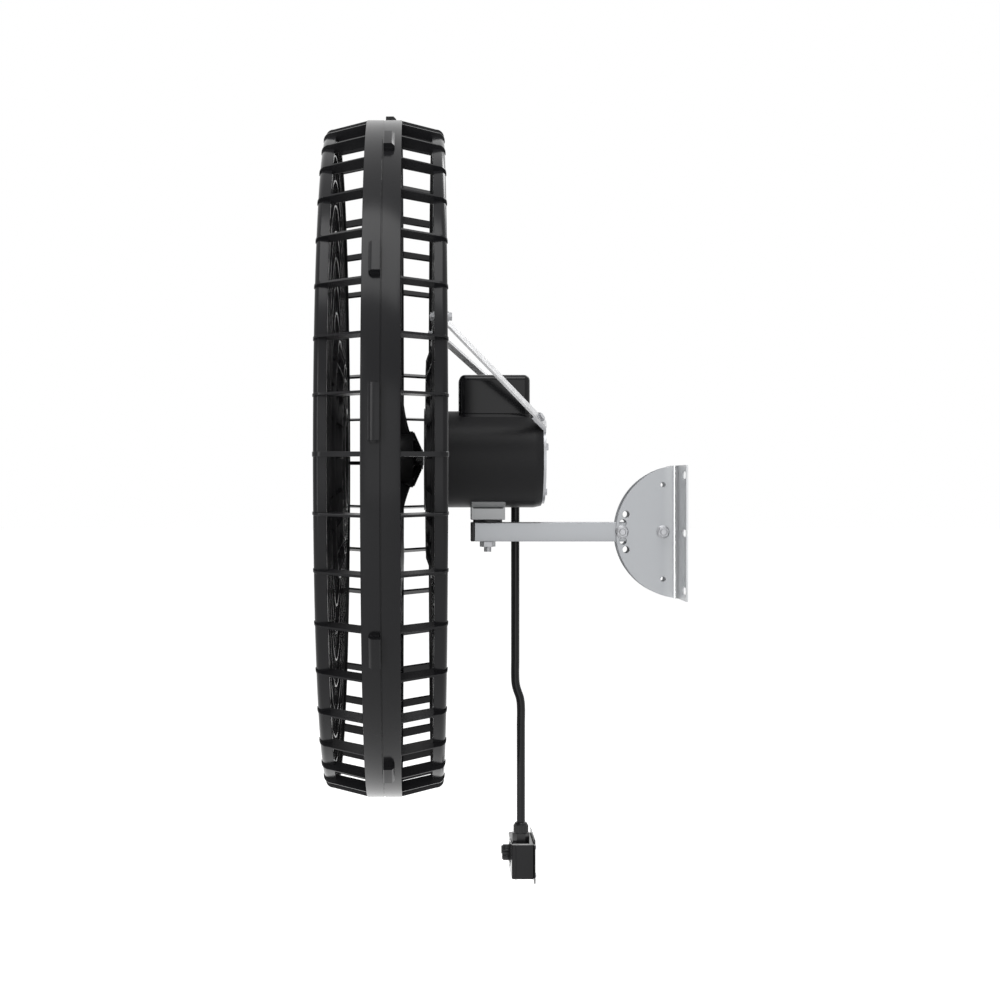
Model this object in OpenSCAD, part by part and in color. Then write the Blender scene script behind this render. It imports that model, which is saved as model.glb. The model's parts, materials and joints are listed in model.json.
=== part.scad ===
// Wall mounted fan: a two part guard with a three blade fan, a round motor with a box on top,
// a square arm that swivels under the motor and tilts between two half disc wall plates,
// and a speed control that hangs on its cord.
// The origin is on the wall at the middle of the bracket. The fan blows towards -X, and +Z is up.

/* [Wall bracket] */
// Radius of the half disc plates
disc_r = 86; // [80:1:110]
// Distance of the half discs' centre behind the wall's plane
disc_set = 4; // [0:0.5:8]
// Thickness of the bracket sheet
sheet_t = 2.5; // [2:0.1:5]
// Inside radius of the bend between plate and flange
bend_r = 5.5; // [1:0.5:7]
// Width of a flange, from the plate to its free edge
flange_w = 82; // [65:1:110]
// Height of a flange slot
slot_h = 9; // [7:0.5:13]
// Overall length of a flange slot
slot_l = 31; // [14:0.5:34]
// Distance from a slot's centre to the free edge of its flange
slot_edge = 19.5; // [18:0.5:35]
// Distance from the end slots to the ends of the flange
slot_end = 13; // [9:0.5:20]
// Diameter of an index hole
index_d = 9; // [8.5:0.1:10]
// Radius of the arc of index holes about the tilt pivot
index_r = 53; // [45:0.5:57]
// Angle between two index holes
index_step = 12.75; // [12:0.25:15]
// Diameter of the two spare holes in a plate
spare_d = 6.5; // [3:0.5:8]
// Distance of the spare holes above and below the pivot
spare_rise = 61; // [50:0.5:70]
// Distance of the tilt pivot from the wall
pivot_reach = 21; // [20:0.5:30]
// Diameter of the pivot bolt and the lock screws
bolt_d = 8; // [6:0.5:8]

/* [Arm] */
// Width of the square tube
tube_w = 25; // [22:0.5:28]
// Wall of the square tube
tube_t = 2; // [1.5:0.1:3]
// Outside corner radius of the square tube
tube_r = 2.5; // [2:0.1:4]
// Distance from the tilt pivot to the swivel axis
arm_reach = 226; // [180:1:400]
// Length of tube behind the tilt pivot
tube_tail = 13; // [9:0.5:14]
// Length of tube in front of the swivel axis
tube_nose = 17; // [16:0.5:30]
// Thickness of the end cap in front of the tube
cap_t = 5; // [3:0.5:8]
// Depth of the end cap's plug inside the tube
plug_l = 9; // [5:0.5:10]
// Diameter of the nylon swivel washer
washer_d = 38; // [24:0.5:42]
// Thickness of the nylon swivel washer
washer_t = 3; // [2:0.5:5]
// Diameter of the swivel bolt
swivel_d = 9.5; // [8:0.5:10]
// Width across the flats of the swivel bolt's nut
swivel_nut_w = 17.7; // [14:0.1:19]
// Height of the swivel bolt's nut
swivel_nut_h = 6.8; // [5:0.1:10]
// Length of thread below that nut
swivel_tail = 6.5; // [2:0.5:10]

/* [Foot bracket] */
// Length of the foot bracket along the motor
foot_l = 43.5; // [40:0.5:60]
// Width across the two cheeks of the foot bracket
foot_w = 40; // [34:1:50]
// Thickness of the foot bracket's sheet
foot_t = 3; // [2:0.5:4]
// Width of the saddle under the motor
saddle_w = 62; // [50:1:80]
// Distance of the saddle screws from the swivel axis
foot_screw_x = 14.5; // [12:0.5:16]

/* [Motor] */
// Height of the fan axis above the middle of the arm
fan_rise = 94; // [94:1:110]
// Diameter of the motor
motor_d = 125; // [118:1:125]
// Length of the motor
motor_l = 141; // [130:1:180]
// Wall of the motor shell
shell_t = 3.5; // [2.5:0.1:5]
// Thickness of the shell's rear wall
end_t = 6; // [4:0.5:10]
// Chamfer round the shell's rear edge
end_chamfer = 5; // [1:0.5:6]
// Thickness of the front shield
shield_t = 5; // [4:0.5:8]
// Diameter of the motor shaft
shaft_d = 16; // [12:0.5:18]
// Outside diameter of a bearing
bearing_d = 38; // [32:1:40]
// Width of a bearing
bearing_w = 11; // [9:0.5:13]
// Wall round a bearing in its boss
boss_t = 4; // [3:0.5:6]
// Length of the stator's iron
stator_l = 60; // [40:1:70]
// Length of the winding heads at each end of the stator
winding_l = 14; // [8:1:16]
// Outside diameter of the rotor
rotor_d = 64; // [56:1:70]
// Gap between rotor and stator
air_gap = 0.6; // [0.4:0.1:1]
// Distance of the rear bolts from the motor's axis
motor_bolt_r = 45; // [42:0.5:47]
// Diameter of the rear bolts
motor_bolt_d = 5; // [4:0.5:6]
// Turn of the first rear bolt from the top
motor_bolt_turn = 20; // [0:1:25]
// Diameter of the bolts that hold the guard on the motor
guard_bolt_d = 6; // [5:0.5:8]
// Distance of those bolts from the motor's axis
guard_bolt_r = 50; // [46:0.5:54]

/* [Top box] */
// Length of the box along the motor
box_l = 91; // [80:1:110]
// Width of the box across the motor
box_w = 62; // [50:1:70]
// Height of the top of the box above the fan axis
box_rise = 108.5; // [104:0.5:130]
// Height of the seam between cover and base above the fan axis
box_seam = 58.5; // [57:0.5:59]
// Distance of the box behind the motor's front
box_set = 34; // [20:1:40]
// Radius of the rounded edges of the cover
box_round = 8; // [4:0.5:12]
// Wall of the cover
box_t = 2.5; // [2:0.1:4]
// Diameter of the capacitor inside the box
capacitor_d = 34; // [25:1:36]
// Length of the capacitor
capacitor_l = 66; // [50:1:70]

/* [Struts] */
// Thickness of the plate behind the motor
rear_plate_t = 3.4; // [2:0.1:5]
// Diameter of the plate behind the motor
rear_plate_d = 115; // [108:1:118]
// Height of the plate's flat top above the fan axis
rear_plate_rise = 41; // [38:1:46]
// Distance of an ear's bend from the middle of the plate
ear_out = 45; // [43:0.5:48]
// Length of a bent ear
ear_l = 26; // [22:1:40]
// Length of the part of an ear that lies in the plate
ear_root = 16; // [14:1:22]
// Width of a strut
strut_w = 14; // [12:0.5:20]
// Thickness of a strut
strut_t = 3; // [2:0.1:4]
// Length of a strut's tab on the guard
tab_l = 18; // [16:1:30]
// Distance of a strut's bolt from the bend where the tab begins
tab_bolt_set = 8; // [8:0.5:12]
// Distance of the strut bolts from the fan axis
strut_bolt_r = 226; // [208:0.5:232]
// Turn of the strut bolts from the top
strut_turn = 40; // [36:1:42]
// Diameter of the strut bolts
strut_bolt_d = 6; // [5:0.5:8]
// Diameter of the screws that hold a strut on its ear
ear_screw_d = 6; // [5:0.5:6]
// Distance of an ear screw from the ear's bend
ear_screw_set = 16; // [12:0.5:18]

/* [Guard] */
// Diameter of the guard's band
guard_d = 867; // [840:1:900]
// Width of the band on each half
band_w = 22; // [18:0.5:30]
// Wall of the band
band_t = 3; // [2:0.1:5]
// Depth of each half of the guard
half_depth = 74; // [70:0.5:90]
// Distance from the swivel axis to the plane where the halves meet
guard_reach = 132.6; // [130:0.1:150]
// Number of spokes round the side
spoke_n = 40; // [20:4:60]
// Thickness of a spoke
spoke_t = 3; // [1.5:0.1:4]
// Thickness of the two spokes at the sides, level with the fan axis
key_spoke_t = 5.5; // [4:0.1:7]
// Depth of a spoke, measured inwards
spoke_depth = 14; // [9:0.5:16]
// Diameter of the corner ring
corner_d = 834; // [810:1:838]
// Wall of the corner ring
corner_t = 8; // [6:0.5:10]
// Width of the corner ring along the axis
corner_w = 15; // [12:0.5:20]
// Bevel round the corner ring's outer edge
corner_bevel = 5.5; // [1:0.5:5.5]
// Height of the spokes above the face of the corner ring
spoke_proud = 0.8; // [0.5:0.1:2]
// Radius of the spokes' outer corner
spoke_round = 10; // [6:0.5:12]
// Width of the spokes in front of the corner ring
spoke_out = 5; // [4:0.5:8]
// Height of the latches above the band
latch_h = 9; // [3:0.5:12]
// Width of the latches along the axis
latch_w = 11.5; // [8:0.5:16]
// Distance of the latches from the edge of their band
latch_set = 2; // [0.5:0.5:4]
// Length of a latch round the band
latch_l = 44; // [30:1:60]
// Length of the two long latches
long_latch_l = 67; // [50:1:90]

/* [Grille] */
// Radius of the first deep ring
ring_r = 389; // [385:0.5:392]
// Distance from the first deep ring to the next
ring_step = 31; // [28:0.5:32]
// How much each further step between deep rings grows
ring_growth = 0.9; // [0:0.1:1.2]
// Number of deep rings
ring_n = 8; // [6:1:8]
// Thickness of a deep ring
ring_t = 2.4; // [1.5:0.1:4]
// Depth of a deep ring
ring_depth = 11; // [9:0.5:14]
// Thickness of a fine ring
fine_t = 1.8; // [1.2:0.1:3]
// Depth of a fine ring
fine_depth = 5; // [3:0.5:8]
// Thickness of a rib
rib_t = 2; // [1.5:0.1:4]
// Depth of a rib
rib_depth = 8; // [6:0.5:10]
// Depth of a rib below the outer edges of the rings
rib_sink = 0.8; // [0.4:0.1:2]
// Deep ring at which every second rib ends, counted from the first
short_rib_ring = 5; // [3:1:6]
// Depth of the dish in the middle of the grille
dish_depth = 13; // [8:0.5:20]
// Radius at which the dish begins
dish_r = 165; // [158:1:175]
// Radius of the flat bottom of the dish
dish_flat_r = 128; // [110:1:140]
// Diameter of the plate in the middle of the grille
centre_d = 132; // [124:1:150]
// Thickness of the plate in the middle of the grille
centre_t = 5; // [4:0.5:8]
// Diameter of the pads under the strut bolts
pad_d = 24; // [20:1:34]
// Height of the strut pads above the deep rings, at both ends
pad_proud = 0.8; // [0.4:0.1:1.5]

/* [Fan blade] */
// Diameter across the blades
blade_d = 762; // [700:1:780]
// Number of blades
blade_n = 3; // [3:1:5]
// Diameter of the hub
hub_d = 73; // [66:1:80]
// Length of the hub's straight part
hub_l = 45; // [40:1:50]
// Length of the cone behind the hub
cone_l = 13; // [10:0.5:13]
// Diameter of the neck at the end of the cone
neck_d = 26; // [24:0.5:34]
// Distance of the back of the hub behind the plane where the guard halves meet
hub_back = 35.6; // [34:0.1:36]
// Distance of the blades' middle behind that plane
blade_back = 10; // [5:0.5:15]
// Width of a blade at the hub
root_chord = 68; // [55:1:75]
// Width of a blade at the tip
tip_chord = 125; // [90:1:150]
// Pitch of a blade at the hub
root_pitch = 45; // [35:1:48]
// Pitch of a blade at the tip
tip_pitch = 14; // [10:1:20]
// Thickness of a blade
blade_t = 3; // [2:0.1:5]
// Depth of a blade's curve
blade_camber = 5; // [0:0.5:8]
// Sideways sweep of a blade's tip
blade_sweep = 30; // [0:1:60]
// Diameter of the hub's set screw
set_screw_d = 6; // [4:0.5:6]

/* [Cord and speed control] */
// Diameter of the cord
cord_d = 11.2; // [9:0.1:12]
// Length of the strain relief under the cord's entry
relief_l = 32; // [20:1:40]
// Diameter of the strain relief at its top
relief_d = 14; // [13:0.5:14]
// Diameter of the strain relief at the cord
relief_tip_d = 12.5; // [11.5:0.5:13]
// Length of the cord's entry box along the motor
entry_l = 30; // [26:1:36]
// Distance of the cord from the middle of the motor
entry_out = 69; // [69:0.5:72]
// Distance of the cord behind the motor's front
entry_set = 111.1; // [105:0.1:120]
// Width of the entry box beside the cord
entry_w = 13; // [11:0.5:16]
// Height of the underside of the entry box above the middle of the arm
entry_rise = 84; // [80:1:90]
// Height of the entry box
entry_h = 22; // [18:1:30]
// Diameter across the flats of the gland
gland_af = 20; // [15:0.5:22]
// Height of the gland's hexagon
gland_hex_h = 18; // [10:0.5:20]
// Height of the gland's collar
gland_collar_h = 7.4; // [3:0.1:10]
// Width of the control box
control_w = 94; // [70:1:100]
// Height of the control box
control_h = 47; // [46:0.5:60]
// Depth of the control box
control_d = 29.7; // [28:0.1:40]
// Distance of the cord behind the front of the control box
cord_set = 13.3; // [12:0.1:15]
// Sideways distance of the cord from the middle of the control box
cord_side = 24; // [0:1:30]
// Wall of the control box
control_t = 2.5; // [2:0.1:3]
// Width of the plate behind the control box
control_plate_w = 101; // [96:1:110]
// Height of the plate behind the control box
control_plate_h = 58.5; // [54:0.5:70]
// Thickness of the plate behind the control box
control_plate_t = 1.6; // [1:0.1:3]
// Diameter of the speed knob
knob_d = 21.5; // [16:0.5:24]
// Height of the speed knob
knob_h = 10.5; // [8:0.5:16]
// Height of the knob's axis above the middle of the control box
knob_rise = 4; // [0:0.5:8]

/* [Hidden] */
$fn = 96;

// Overrun of every cut past the surface that it opens
overrun = 1;
// Gap between faces that slide on each other
slip = 0.2;
// Gap each side of the arm between the two wall plates
arm_gap = 0.3;
// Radial clearance of a turning pin in its bore
running = 0.08;
// Clearance of a fixed bolt in its hole
bolt_gap = 0.3;
// Thickness of the flange under a bolt's head and the share of the bolt's size in its other measures
flange_t = 1.6;
flange_share = 2.1;
hex_share = 1.6;
head_share = 0.65;
nut_share = 0.85;
hex_sides = 6;
// Length of thread that stands out of a nut
thread_out = 2.5;
// Number of index holes each side of the middle one
index_side_n = 2;
// Bevels and small edges
band_bevel = 0.8;
latch_bevel = 3;
small_round = 1;

// Places along the arm and the fan axis
plate_in = tube_w / 2 + arm_gap;
plate_out = plate_in + sheet_t;
pivot_x = -pivot_reach;
swivel_x = pivot_x - arm_reach;
guard_x = swivel_x - guard_reach;
tube_front_x = swivel_x - tube_nose;
tube_back_x = pivot_x + tube_tail;
slot_y = plate_out + flange_w - slot_edge;
slot_z = disc_r - slot_end;
foot_z = tube_w / 2 + washer_t + slip;

// Places along the fan axis, measured forwards from the plane where the guard halves meet
guard_r = guard_d / 2;
corner_r = corner_d / 2;
grille_r = corner_r - corner_t;
pad_face = half_depth + pad_proud;
pad_l = ring_depth + pad_proud * 2;
short_rib_r = ring_at(short_rib_ring);
motor_r = motor_d / 2;
motor_front = -(half_depth - dish_depth);
motor_back = motor_front - motor_l;
shell_front = motor_front - shield_t;
shell_in_r = motor_r - shell_t;
boss_r = bearing_d / 2 + boss_t;
boss_l = bearing_w + boss_t;
bearing_step = 3;
front_bearing_at = shell_front - boss_l;
rear_bearing_at = motor_back + end_t;
nose_l = centre_t;
nose_r = boss_r;
stator_mid = (shell_front + motor_back) / 2;
plate_back = motor_back - rear_plate_t;
capacitor_at = motor_front - box_set - box_l / 2;
base_in_rise = motor_r + box_t;

// The cord's route from the strain relief to the gland
cord_path = [
    [-207.5, 69, 52], [-207.5, 69, 30], [-207.5, 69, 5], [-207.5, 69, -20], [-207.5, 69, -45],
    [-207.5, 69, -70], [-207.5, 69, -95], [-207.5, 69, -120], [-207.5, 69, -145], [-207.5, 69, -170],
    [-207.5, 69, -198], [-207, 69, -204], [-205.8, 69, -210], [-203.8, 69, -216], [-201.7, 69, -222],
    [-200.5, 69, -228], [-200, 69, -234], [-200, 69, -260], [-200, 69, -285], [-200, 69, -310],
    [-200, 69, -335], [-200, 69, -360], [-200, 69, -389]
];
cord_sides = 12;
cord_end = cord_path[len(cord_path) - 1];
control_top = cord_end[2] - gland_collar_h - gland_hex_h;
control_mid = control_top - control_h / 2;
control_front_x = cord_end[0] - cord_set;
control_back_x = control_front_x + control_d;
control_y = cord_end[1] + cord_side;
knob_z = control_mid + knob_rise;
knob_gap = 0.4;
spindle_d = 6;
switch_w = 26;
switch_l = 14;
control_screw_d = 3;
control_screw_l = 8;
control_boss_d = 7;
knob_flutes = 14;
knob_flute_d = 1.6;
pointer_w = 2.4;
pointer_h = 1;

// Blade sections run from the root to the tip, and each is a loop round the blade
station_n = 12;
chord_n = 6;
tip_round_share = 0.4;
edge_t_share = 0.35;
tip_round_power = 14;
pitch_fall_power = 10;
root_overlap = 5;
neck_l = 9;
hub_wall = 4;
hub_cavity_l = 22;
set_screw_back = 4.5;

module fan_axis() {
    translate([guard_x, 0, fan_rise])
        rotate([0, -90, 0])
            children();
}

module swivel_axis() {
    translate([swivel_x, 0, 0])
        children();
}

module at_both_sides() {
    children();
    mirror([0, 1, 0])
        children();
}

module rounded_rectangle(size, r) {
    union() {
        square([size[0] - r * 2, size[1]], center = true);
        square([size[0], size[1] - r * 2], center = true);
        for (x = [-1, 1], y = [-1, 1])
            translate([x * (size[0] / 2 - r), y * (size[1] / 2 - r)])
                circle(r = r);
    }
}

// Bolt head with its flange, standing on z = 0
module flange_head(d, share) {
    union() {
        cylinder(h = flange_t, d = d * flange_share);
        cylinder(h = flange_t + d * share, d = d * hex_share / cos(180 / hex_sides), $fn = hex_sides);
    }
}

// Plain hexagon head standing on z = 0
module hex_head(d) {
    cylinder(h = d * head_share, d = d * hex_share / cos(180 / hex_sides), $fn = hex_sides);
}

// Flange nut standing on z = 0, with its hole for the bolt
module flange_nut(d, share) {
    difference() {
        flange_head(d, share);
        translate([0, 0, -overrun])
            cylinder(h = flange_t + d * share + overrun * 2, d = d);
    }
}

// Half disc with its bend and its outward flange, on the -Y side
module bracket_plate() {
    bend_x = -(sheet_t + bend_r);
    difference() {
        union() {
            translate([0, -plate_in, 0])
                rotate([90, 0, 0])
                    linear_extrude(sheet_t)
                        intersection() {
                            translate([disc_set, 0])
                                circle(r = disc_r);
                            translate([-disc_r, -disc_r])
                                square([disc_r + bend_x, disc_r * 2]);
                        }
            intersection() {
                translate([bend_x, -plate_out - bend_r, -disc_r])
                    difference() {
                        cylinder(h = disc_r * 2, r = bend_r + sheet_t);
                        translate([0, 0, -overrun])
                            cylinder(h = (disc_r + overrun) * 2, r = bend_r);
                    }
                translate([bend_x, -plate_out - bend_r, -disc_r])
                    cube([bend_r + sheet_t, bend_r + sheet_t, disc_r * 2]);
            }
            translate([-sheet_t, -plate_out - flange_w, -disc_r])
                cube([sheet_t, flange_w - bend_r, disc_r * 2]);
        }
        for (z = [-slot_z, 0, slot_z])
            translate([0, -slot_y, z])
                flange_slot();
        plate_hole(bolt_d + bolt_gap, 0, 0);
        for (side = [-1, 1])
            plate_hole(spare_d, 0, side * spare_rise);
        for (i = [-index_side_n : index_side_n])
            plate_hole(index_d, -index_r * cos(i * index_step), index_r * sin(i * index_step));
    }
}

// Hole through a plate, placed from the tilt pivot
module plate_hole(d, x, z) {
    translate([pivot_x + x, -plate_in + overrun, z])
        rotate([90, 0, 0])
            cylinder(h = sheet_t + overrun * 2, d = d);
}

module flange_slot() {
    for (side = [-1, 1])
        translate([-sheet_t - overrun, side * (slot_l - slot_h) / 2, 0])
            rotate([0, 90, 0])
                cylinder(h = sheet_t + overrun * 2, d = slot_h);
    translate([-sheet_t - overrun, -(slot_l - slot_h) / 2, -slot_h / 2])
        cube([sheet_t + overrun * 2, slot_l - slot_h, slot_h]);
}

module bracket_plate_near() {
    color("silver")
        bracket_plate();
}

module bracket_plate_far() {
    color("silver")
        mirror([0, 1, 0])
            bracket_plate();
}

// Bolt that the arm tilts on, with its nut on the near plate
module pivot_bolt() {
    color("gainsboro")
        translate([pivot_x, plate_out, 0])
            rotate([-90, 0, 0])
                union() {
                    flange_head(bolt_d, head_share);
                    translate([0, 0, -plate_out * 2 - flange_t - bolt_d * nut_share - thread_out])
                        cylinder(
                            h = plate_out * 2 + flange_t * 2 + bolt_d * nut_share + thread_out,
                            d = bolt_d
                        );
                }
}

module pivot_nut() {
    color("gainsboro")
        translate([pivot_x, -plate_out, 0])
            rotate([90, 0, 0])
                flange_nut(bolt_d, nut_share);
}

// A stud with its nut in the middle index hole of each plate, whose tip presses on the arm
module lock_screws() {
    color("gainsboro")
        at_both_sides()
            translate([pivot_x - index_r, -plate_out, 0])
                rotate([90, 0, 0])
                    union() {
                        flange_head(bolt_d, nut_share);
                        translate([0, 0, slip - arm_gap - sheet_t])
                            cylinder(
                                h = sheet_t + arm_gap - slip + flange_t + bolt_d * nut_share + thread_out,
                                d = bolt_d
                            );
                    }
}

// Square tube along X with the pivot bore through its sides and the swivel bore through top and bottom
module arm_tube() {
    tube_l = tube_back_x - tube_front_x;
    color("darkgray")
        difference() {
            translate([tube_front_x, 0, 0])
                rotate([90, 0, 90])
                    linear_extrude(tube_l)
                        difference() {
                            rounded_rectangle([tube_w, tube_w], tube_r);
                            rounded_rectangle([tube_w - tube_t * 2, tube_w - tube_t * 2], tube_r / 2);
                        }
            translate([pivot_x, tube_w / 2 + overrun, 0])
                rotate([90, 0, 0])
                    cylinder(h = tube_w + overrun * 2, d = bolt_d + running * 2);
            translate([swivel_x, 0, -tube_w / 2 - overrun])
                cylinder(h = tube_w + overrun * 2, d = swivel_d + running * 2);
        }
}

module arm_end_cap() {
    plug_w = tube_w - tube_t * 2 - slip * 2;
    color("black")
        translate([tube_front_x, 0, 0])
            rotate([90, 0, 90])
                union() {
                    translate([0, 0, small_round - cap_t])
                        linear_extrude(cap_t - small_round)
                            rounded_rectangle([tube_w, tube_w], tube_r);
                    translate([0, 0, -cap_t])
                        linear_extrude(cap_t)
                            rounded_rectangle([tube_w - small_round * 2, tube_w - small_round * 2], tube_r);
                    translate([0, 0, -small_round])
                        linear_extrude(small_round + plug_l)
                            difference() {
                                rounded_rectangle([plug_w, plug_w], tube_r / 2);
                                rounded_rectangle([plug_w - tube_t * 2, plug_w - tube_t * 2], tube_r / 2);
                            }
                }
}

module swivel_washer() {
    color("black")
        translate([swivel_x, 0, tube_w / 2])
            difference() {
                cylinder(h = washer_t, d = washer_d);
                translate([0, 0, -overrun])
                    cylinder(h = washer_t + overrun * 2, d = swivel_d + running * 2);
            }
}

// Bolt with its head in the foot bracket's channel, pointing down through washer and arm
module swivel_bolt() {
    bolt_l = foot_t + foot_z + tube_w / 2 + slip + swivel_nut_h + swivel_tail;
    color("gainsboro")
        translate([swivel_x, 0, foot_z + foot_t])
            union() {
                hex_head(swivel_d);
                translate([0, 0, -bolt_l])
                    cylinder(h = bolt_l + flange_t, d = swivel_d);
            }
}

module swivel_nut() {
    color("gainsboro")
        translate([swivel_x, 0, -tube_w / 2 - slip])
            mirror([0, 0, 1])
                difference() {
                    cylinder(h = swivel_nut_h, d = swivel_nut_w / cos(180 / hex_sides), $fn = hex_sides);
                    translate([0, 0, -overrun])
                        cylinder(h = swivel_nut_h + overrun * 2, d = swivel_d);
                }
}

// Channel with two cheeks, welded under a saddle that follows the motor's round
module foot_bracket() {
    color("lightgray")
        difference() {
            union() {
                intersection() {
                    translate([-foot_l / 2 + swivel_x, 0, fan_rise])
                        rotate([0, 90, 0])
                            cylinder(h = foot_l, r = motor_r + foot_t);
                    translate([swivel_x - foot_l / 2, -saddle_w / 2, foot_z])
                        cube([foot_l, saddle_w, fan_rise - foot_z - motor_r / 2]);
                }
                translate([swivel_x - foot_l / 2, -foot_w / 2, foot_z])
                    difference() {
                        cube([foot_l, foot_w, fan_rise - motor_r - foot_z + foot_t]);
                        translate([-overrun, foot_t, foot_t])
                            cube([foot_l + overrun * 2, foot_w - foot_t * 2, fan_rise]);
                    }
            }
            translate([swivel_x - foot_l / 2 - overrun, 0, fan_rise])
                rotate([0, 90, 0])
                    cylinder(h = foot_l + overrun * 2, r = motor_r);
            translate([swivel_x, 0, foot_z - overrun])
                cylinder(h = foot_t + overrun * 2, d = swivel_d);
            for (side = [-1, 1])
                translate([swivel_x + side * foot_screw_x, 0, foot_z + foot_t + overrun])
                    cylinder(h = fan_rise - foot_z, d = motor_bolt_d);
        }
}

// Two screws from the channel up into the motor shell
module foot_screws() {
    head_z = fan_rise - motor_r - foot_t;
    color("gainsboro")
        for (side = [-1, 1])
            translate([swivel_x + side * foot_screw_x, 0, head_z])
                union() {
                    mirror([0, 0, 1])
                        hex_head(motor_bolt_d);
                    translate([0, 0, -flange_t])
                        cylinder(h = flange_t + foot_t + shell_t, d = motor_bolt_d);
                }
}

// Drum with a closed rear wall, a bearing boss inside it and the cord's entry box on the far side
module motor_shell() {
    color("dimgray")
        difference() {
            union() {
                fan_axis()
                    rotate_extrude()
                        polygon([
                            [0, motor_back], [motor_r - end_chamfer / 2, motor_back],
                            [motor_r, motor_back + end_chamfer * 2], [motor_r, shell_front],
                            [0, shell_front]
                        ]);
                entry_box();
            }
            fan_axis()
                rotate_extrude()
                    polygon([
                        [0, rear_bearing_at - bearing_step], [bearing_d / 2, rear_bearing_at - bearing_step],
                        [bearing_d / 2, rear_bearing_at + bearing_w],
                        [boss_r, rear_bearing_at + bearing_w], [boss_r, rear_bearing_at],
                        [shell_in_r, rear_bearing_at], [shell_in_r, shell_front + overrun],
                        [0, shell_front + overrun]
                    ]);
            rear_bolt_places()
                translate([0, 0, motor_back - overrun])
                    cylinder(h = end_t + overrun * 2, d = motor_bolt_d);
            for (side = [-1, 1])
                translate([swivel_x + side * foot_screw_x, 0, fan_rise - motor_r - overrun])
                    cylinder(h = shell_t + overrun * 2, d = motor_bolt_d);
            translate([guard_x - motor_front + entry_set, entry_out, entry_rise - overrun])
                cylinder(h = entry_h / 2 + overrun, d = cord_d);
        }
}

module entry_box() {
    entry_x = guard_x - motor_front + entry_set;
    difference() {
        translate([entry_x - entry_l / 2, motor_r / 2, entry_rise])
            cube([entry_l, entry_out + entry_w - motor_r / 2, entry_h]);
        translate([entry_x, entry_out + entry_w, entry_rise + entry_h])
            rotate([45, 0, 0])
                cube([entry_l + overrun * 2, entry_w, entry_w], center = true);
    }
}

module rear_bolt_places() {
    fan_axis()
        for (i = [0 : 90 : 270])
            rotate([0, 0, i + motor_bolt_turn])
                translate([motor_bolt_r, 0, 0])
                    children();
}

module guard_bolt_places() {
    fan_axis()
        for (i = [0 : 90 : 270])
            rotate([0, 0, i + 45])
                translate([guard_bolt_r, 0, 0])
                    children();
}

// Front end of the motor, with its bearing boss behind and the nose that centres the guard
module front_shield() {
    color("dimgray")
        difference() {
            fan_axis()
                rotate_extrude()
                    polygon([
                        [shaft_d / 2 + overrun, motor_front + nose_l], [nose_r, motor_front + nose_l],
                        [nose_r, motor_front], [motor_r, motor_front], [motor_r, shell_front],
                        [boss_r, shell_front], [boss_r, front_bearing_at],
                        [bearing_d / 2, front_bearing_at], [bearing_d / 2, front_bearing_at + bearing_w],
                        [shaft_d / 2 + overrun, front_bearing_at + bearing_w]
                    ]);
            guard_bolt_places()
                translate([0, 0, shell_front - overrun])
                    cylinder(h = shield_t + overrun * 2, d = guard_bolt_d);
        }
}

// Bearing with a shallow groove in each face between its two rings
module bearing() {
    groove_in = shaft_d / 2 + (bearing_d - shaft_d) / 6;
    groove_out = bearing_d / 2 - (bearing_d - shaft_d) / 8;
    groove = bearing_w / 10;
    rotate_extrude()
        difference() {
            translate([shaft_d / 2 + running, 0])
                square([(bearing_d - shaft_d) / 2 - running, bearing_w]);
            translate([groove_in, -groove])
                square([groove_out - groove_in, groove * 2]);
            translate([groove_in, bearing_w - groove])
                square([groove_out - groove_in, groove * 2]);
        }
}

module front_bearing() {
    color("lightsteelblue")
        fan_axis()
            translate([0, 0, front_bearing_at])
                bearing();
}

module rear_bearing() {
    color("lightsteelblue")
        fan_axis()
            translate([0, 0, rear_bearing_at])
                bearing();
}

module stator() {
    color("slategray")
        fan_axis()
            translate([0, 0, stator_mid - stator_l / 2])
                difference() {
                    cylinder(h = stator_l, r = shell_in_r);
                    translate([0, 0, -overrun])
                        cylinder(h = stator_l + overrun * 2, d = rotor_d + air_gap * 2);
                }
}

// Rounded copper winding heads at both ends of the stator
module windings() {
    head_in = rotor_d / 2 + winding_l / 4;
    head_out = shell_in_r - winding_l / 4;
    color("peru")
        fan_axis()
            for (side = [-1, 1])
                translate([0, 0, stator_mid + side * stator_l / 2])
                    mirror([0, 0, (1 - side) / 2])
                        rotate_extrude()
                            polygon([
                                [head_in, 0], [head_out, 0], [head_out, winding_l - winding_l / 4],
                                [head_out - winding_l / 4, winding_l], [head_in + winding_l / 4, winding_l],
                                [head_in, winding_l - winding_l / 4]
                            ]);
}

// Angle of the struts against the motor's rear plane, and their direction seen along the fan axis
bolt_y = strut_bolt_r * sin(strut_turn);
bolt_x = strut_bolt_r * cos(strut_turn);
strut_lean = atan2(bolt_y - ear_out, bolt_x - rear_plate_rise);
strut_run = norm([bolt_x - rear_plate_rise, bolt_y - ear_out]);
tab_start = strut_run - tab_bolt_set;
strut_angle = atan2(plate_back * -1 - pad_face, tab_start);

// Places the profile of an ear or a strut: its x runs outwards from the ear's bend, its y forwards
module strut_plane() {
    fan_axis()
        translate([rear_plate_rise, -ear_out, 0])
            rotate([0, 0, -strut_lean])
                rotate([90, 0, 0])
                    children();
}

function along_strut(length, rise) = [
    length * cos(strut_angle) + rise * sin(strut_angle),
    plate_back + length * sin(strut_angle) - rise * cos(strut_angle)
];

module ear_profile() {
    polygon([
        [-ear_root, plate_back], [0, plate_back], along_strut(ear_l, 0),
        along_strut(ear_l, -rear_plate_t),
        [-rear_plate_t * tan(strut_angle / 2), plate_back + rear_plate_t],
        [-ear_root, plate_back + rear_plate_t]
    ]);
}

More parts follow.
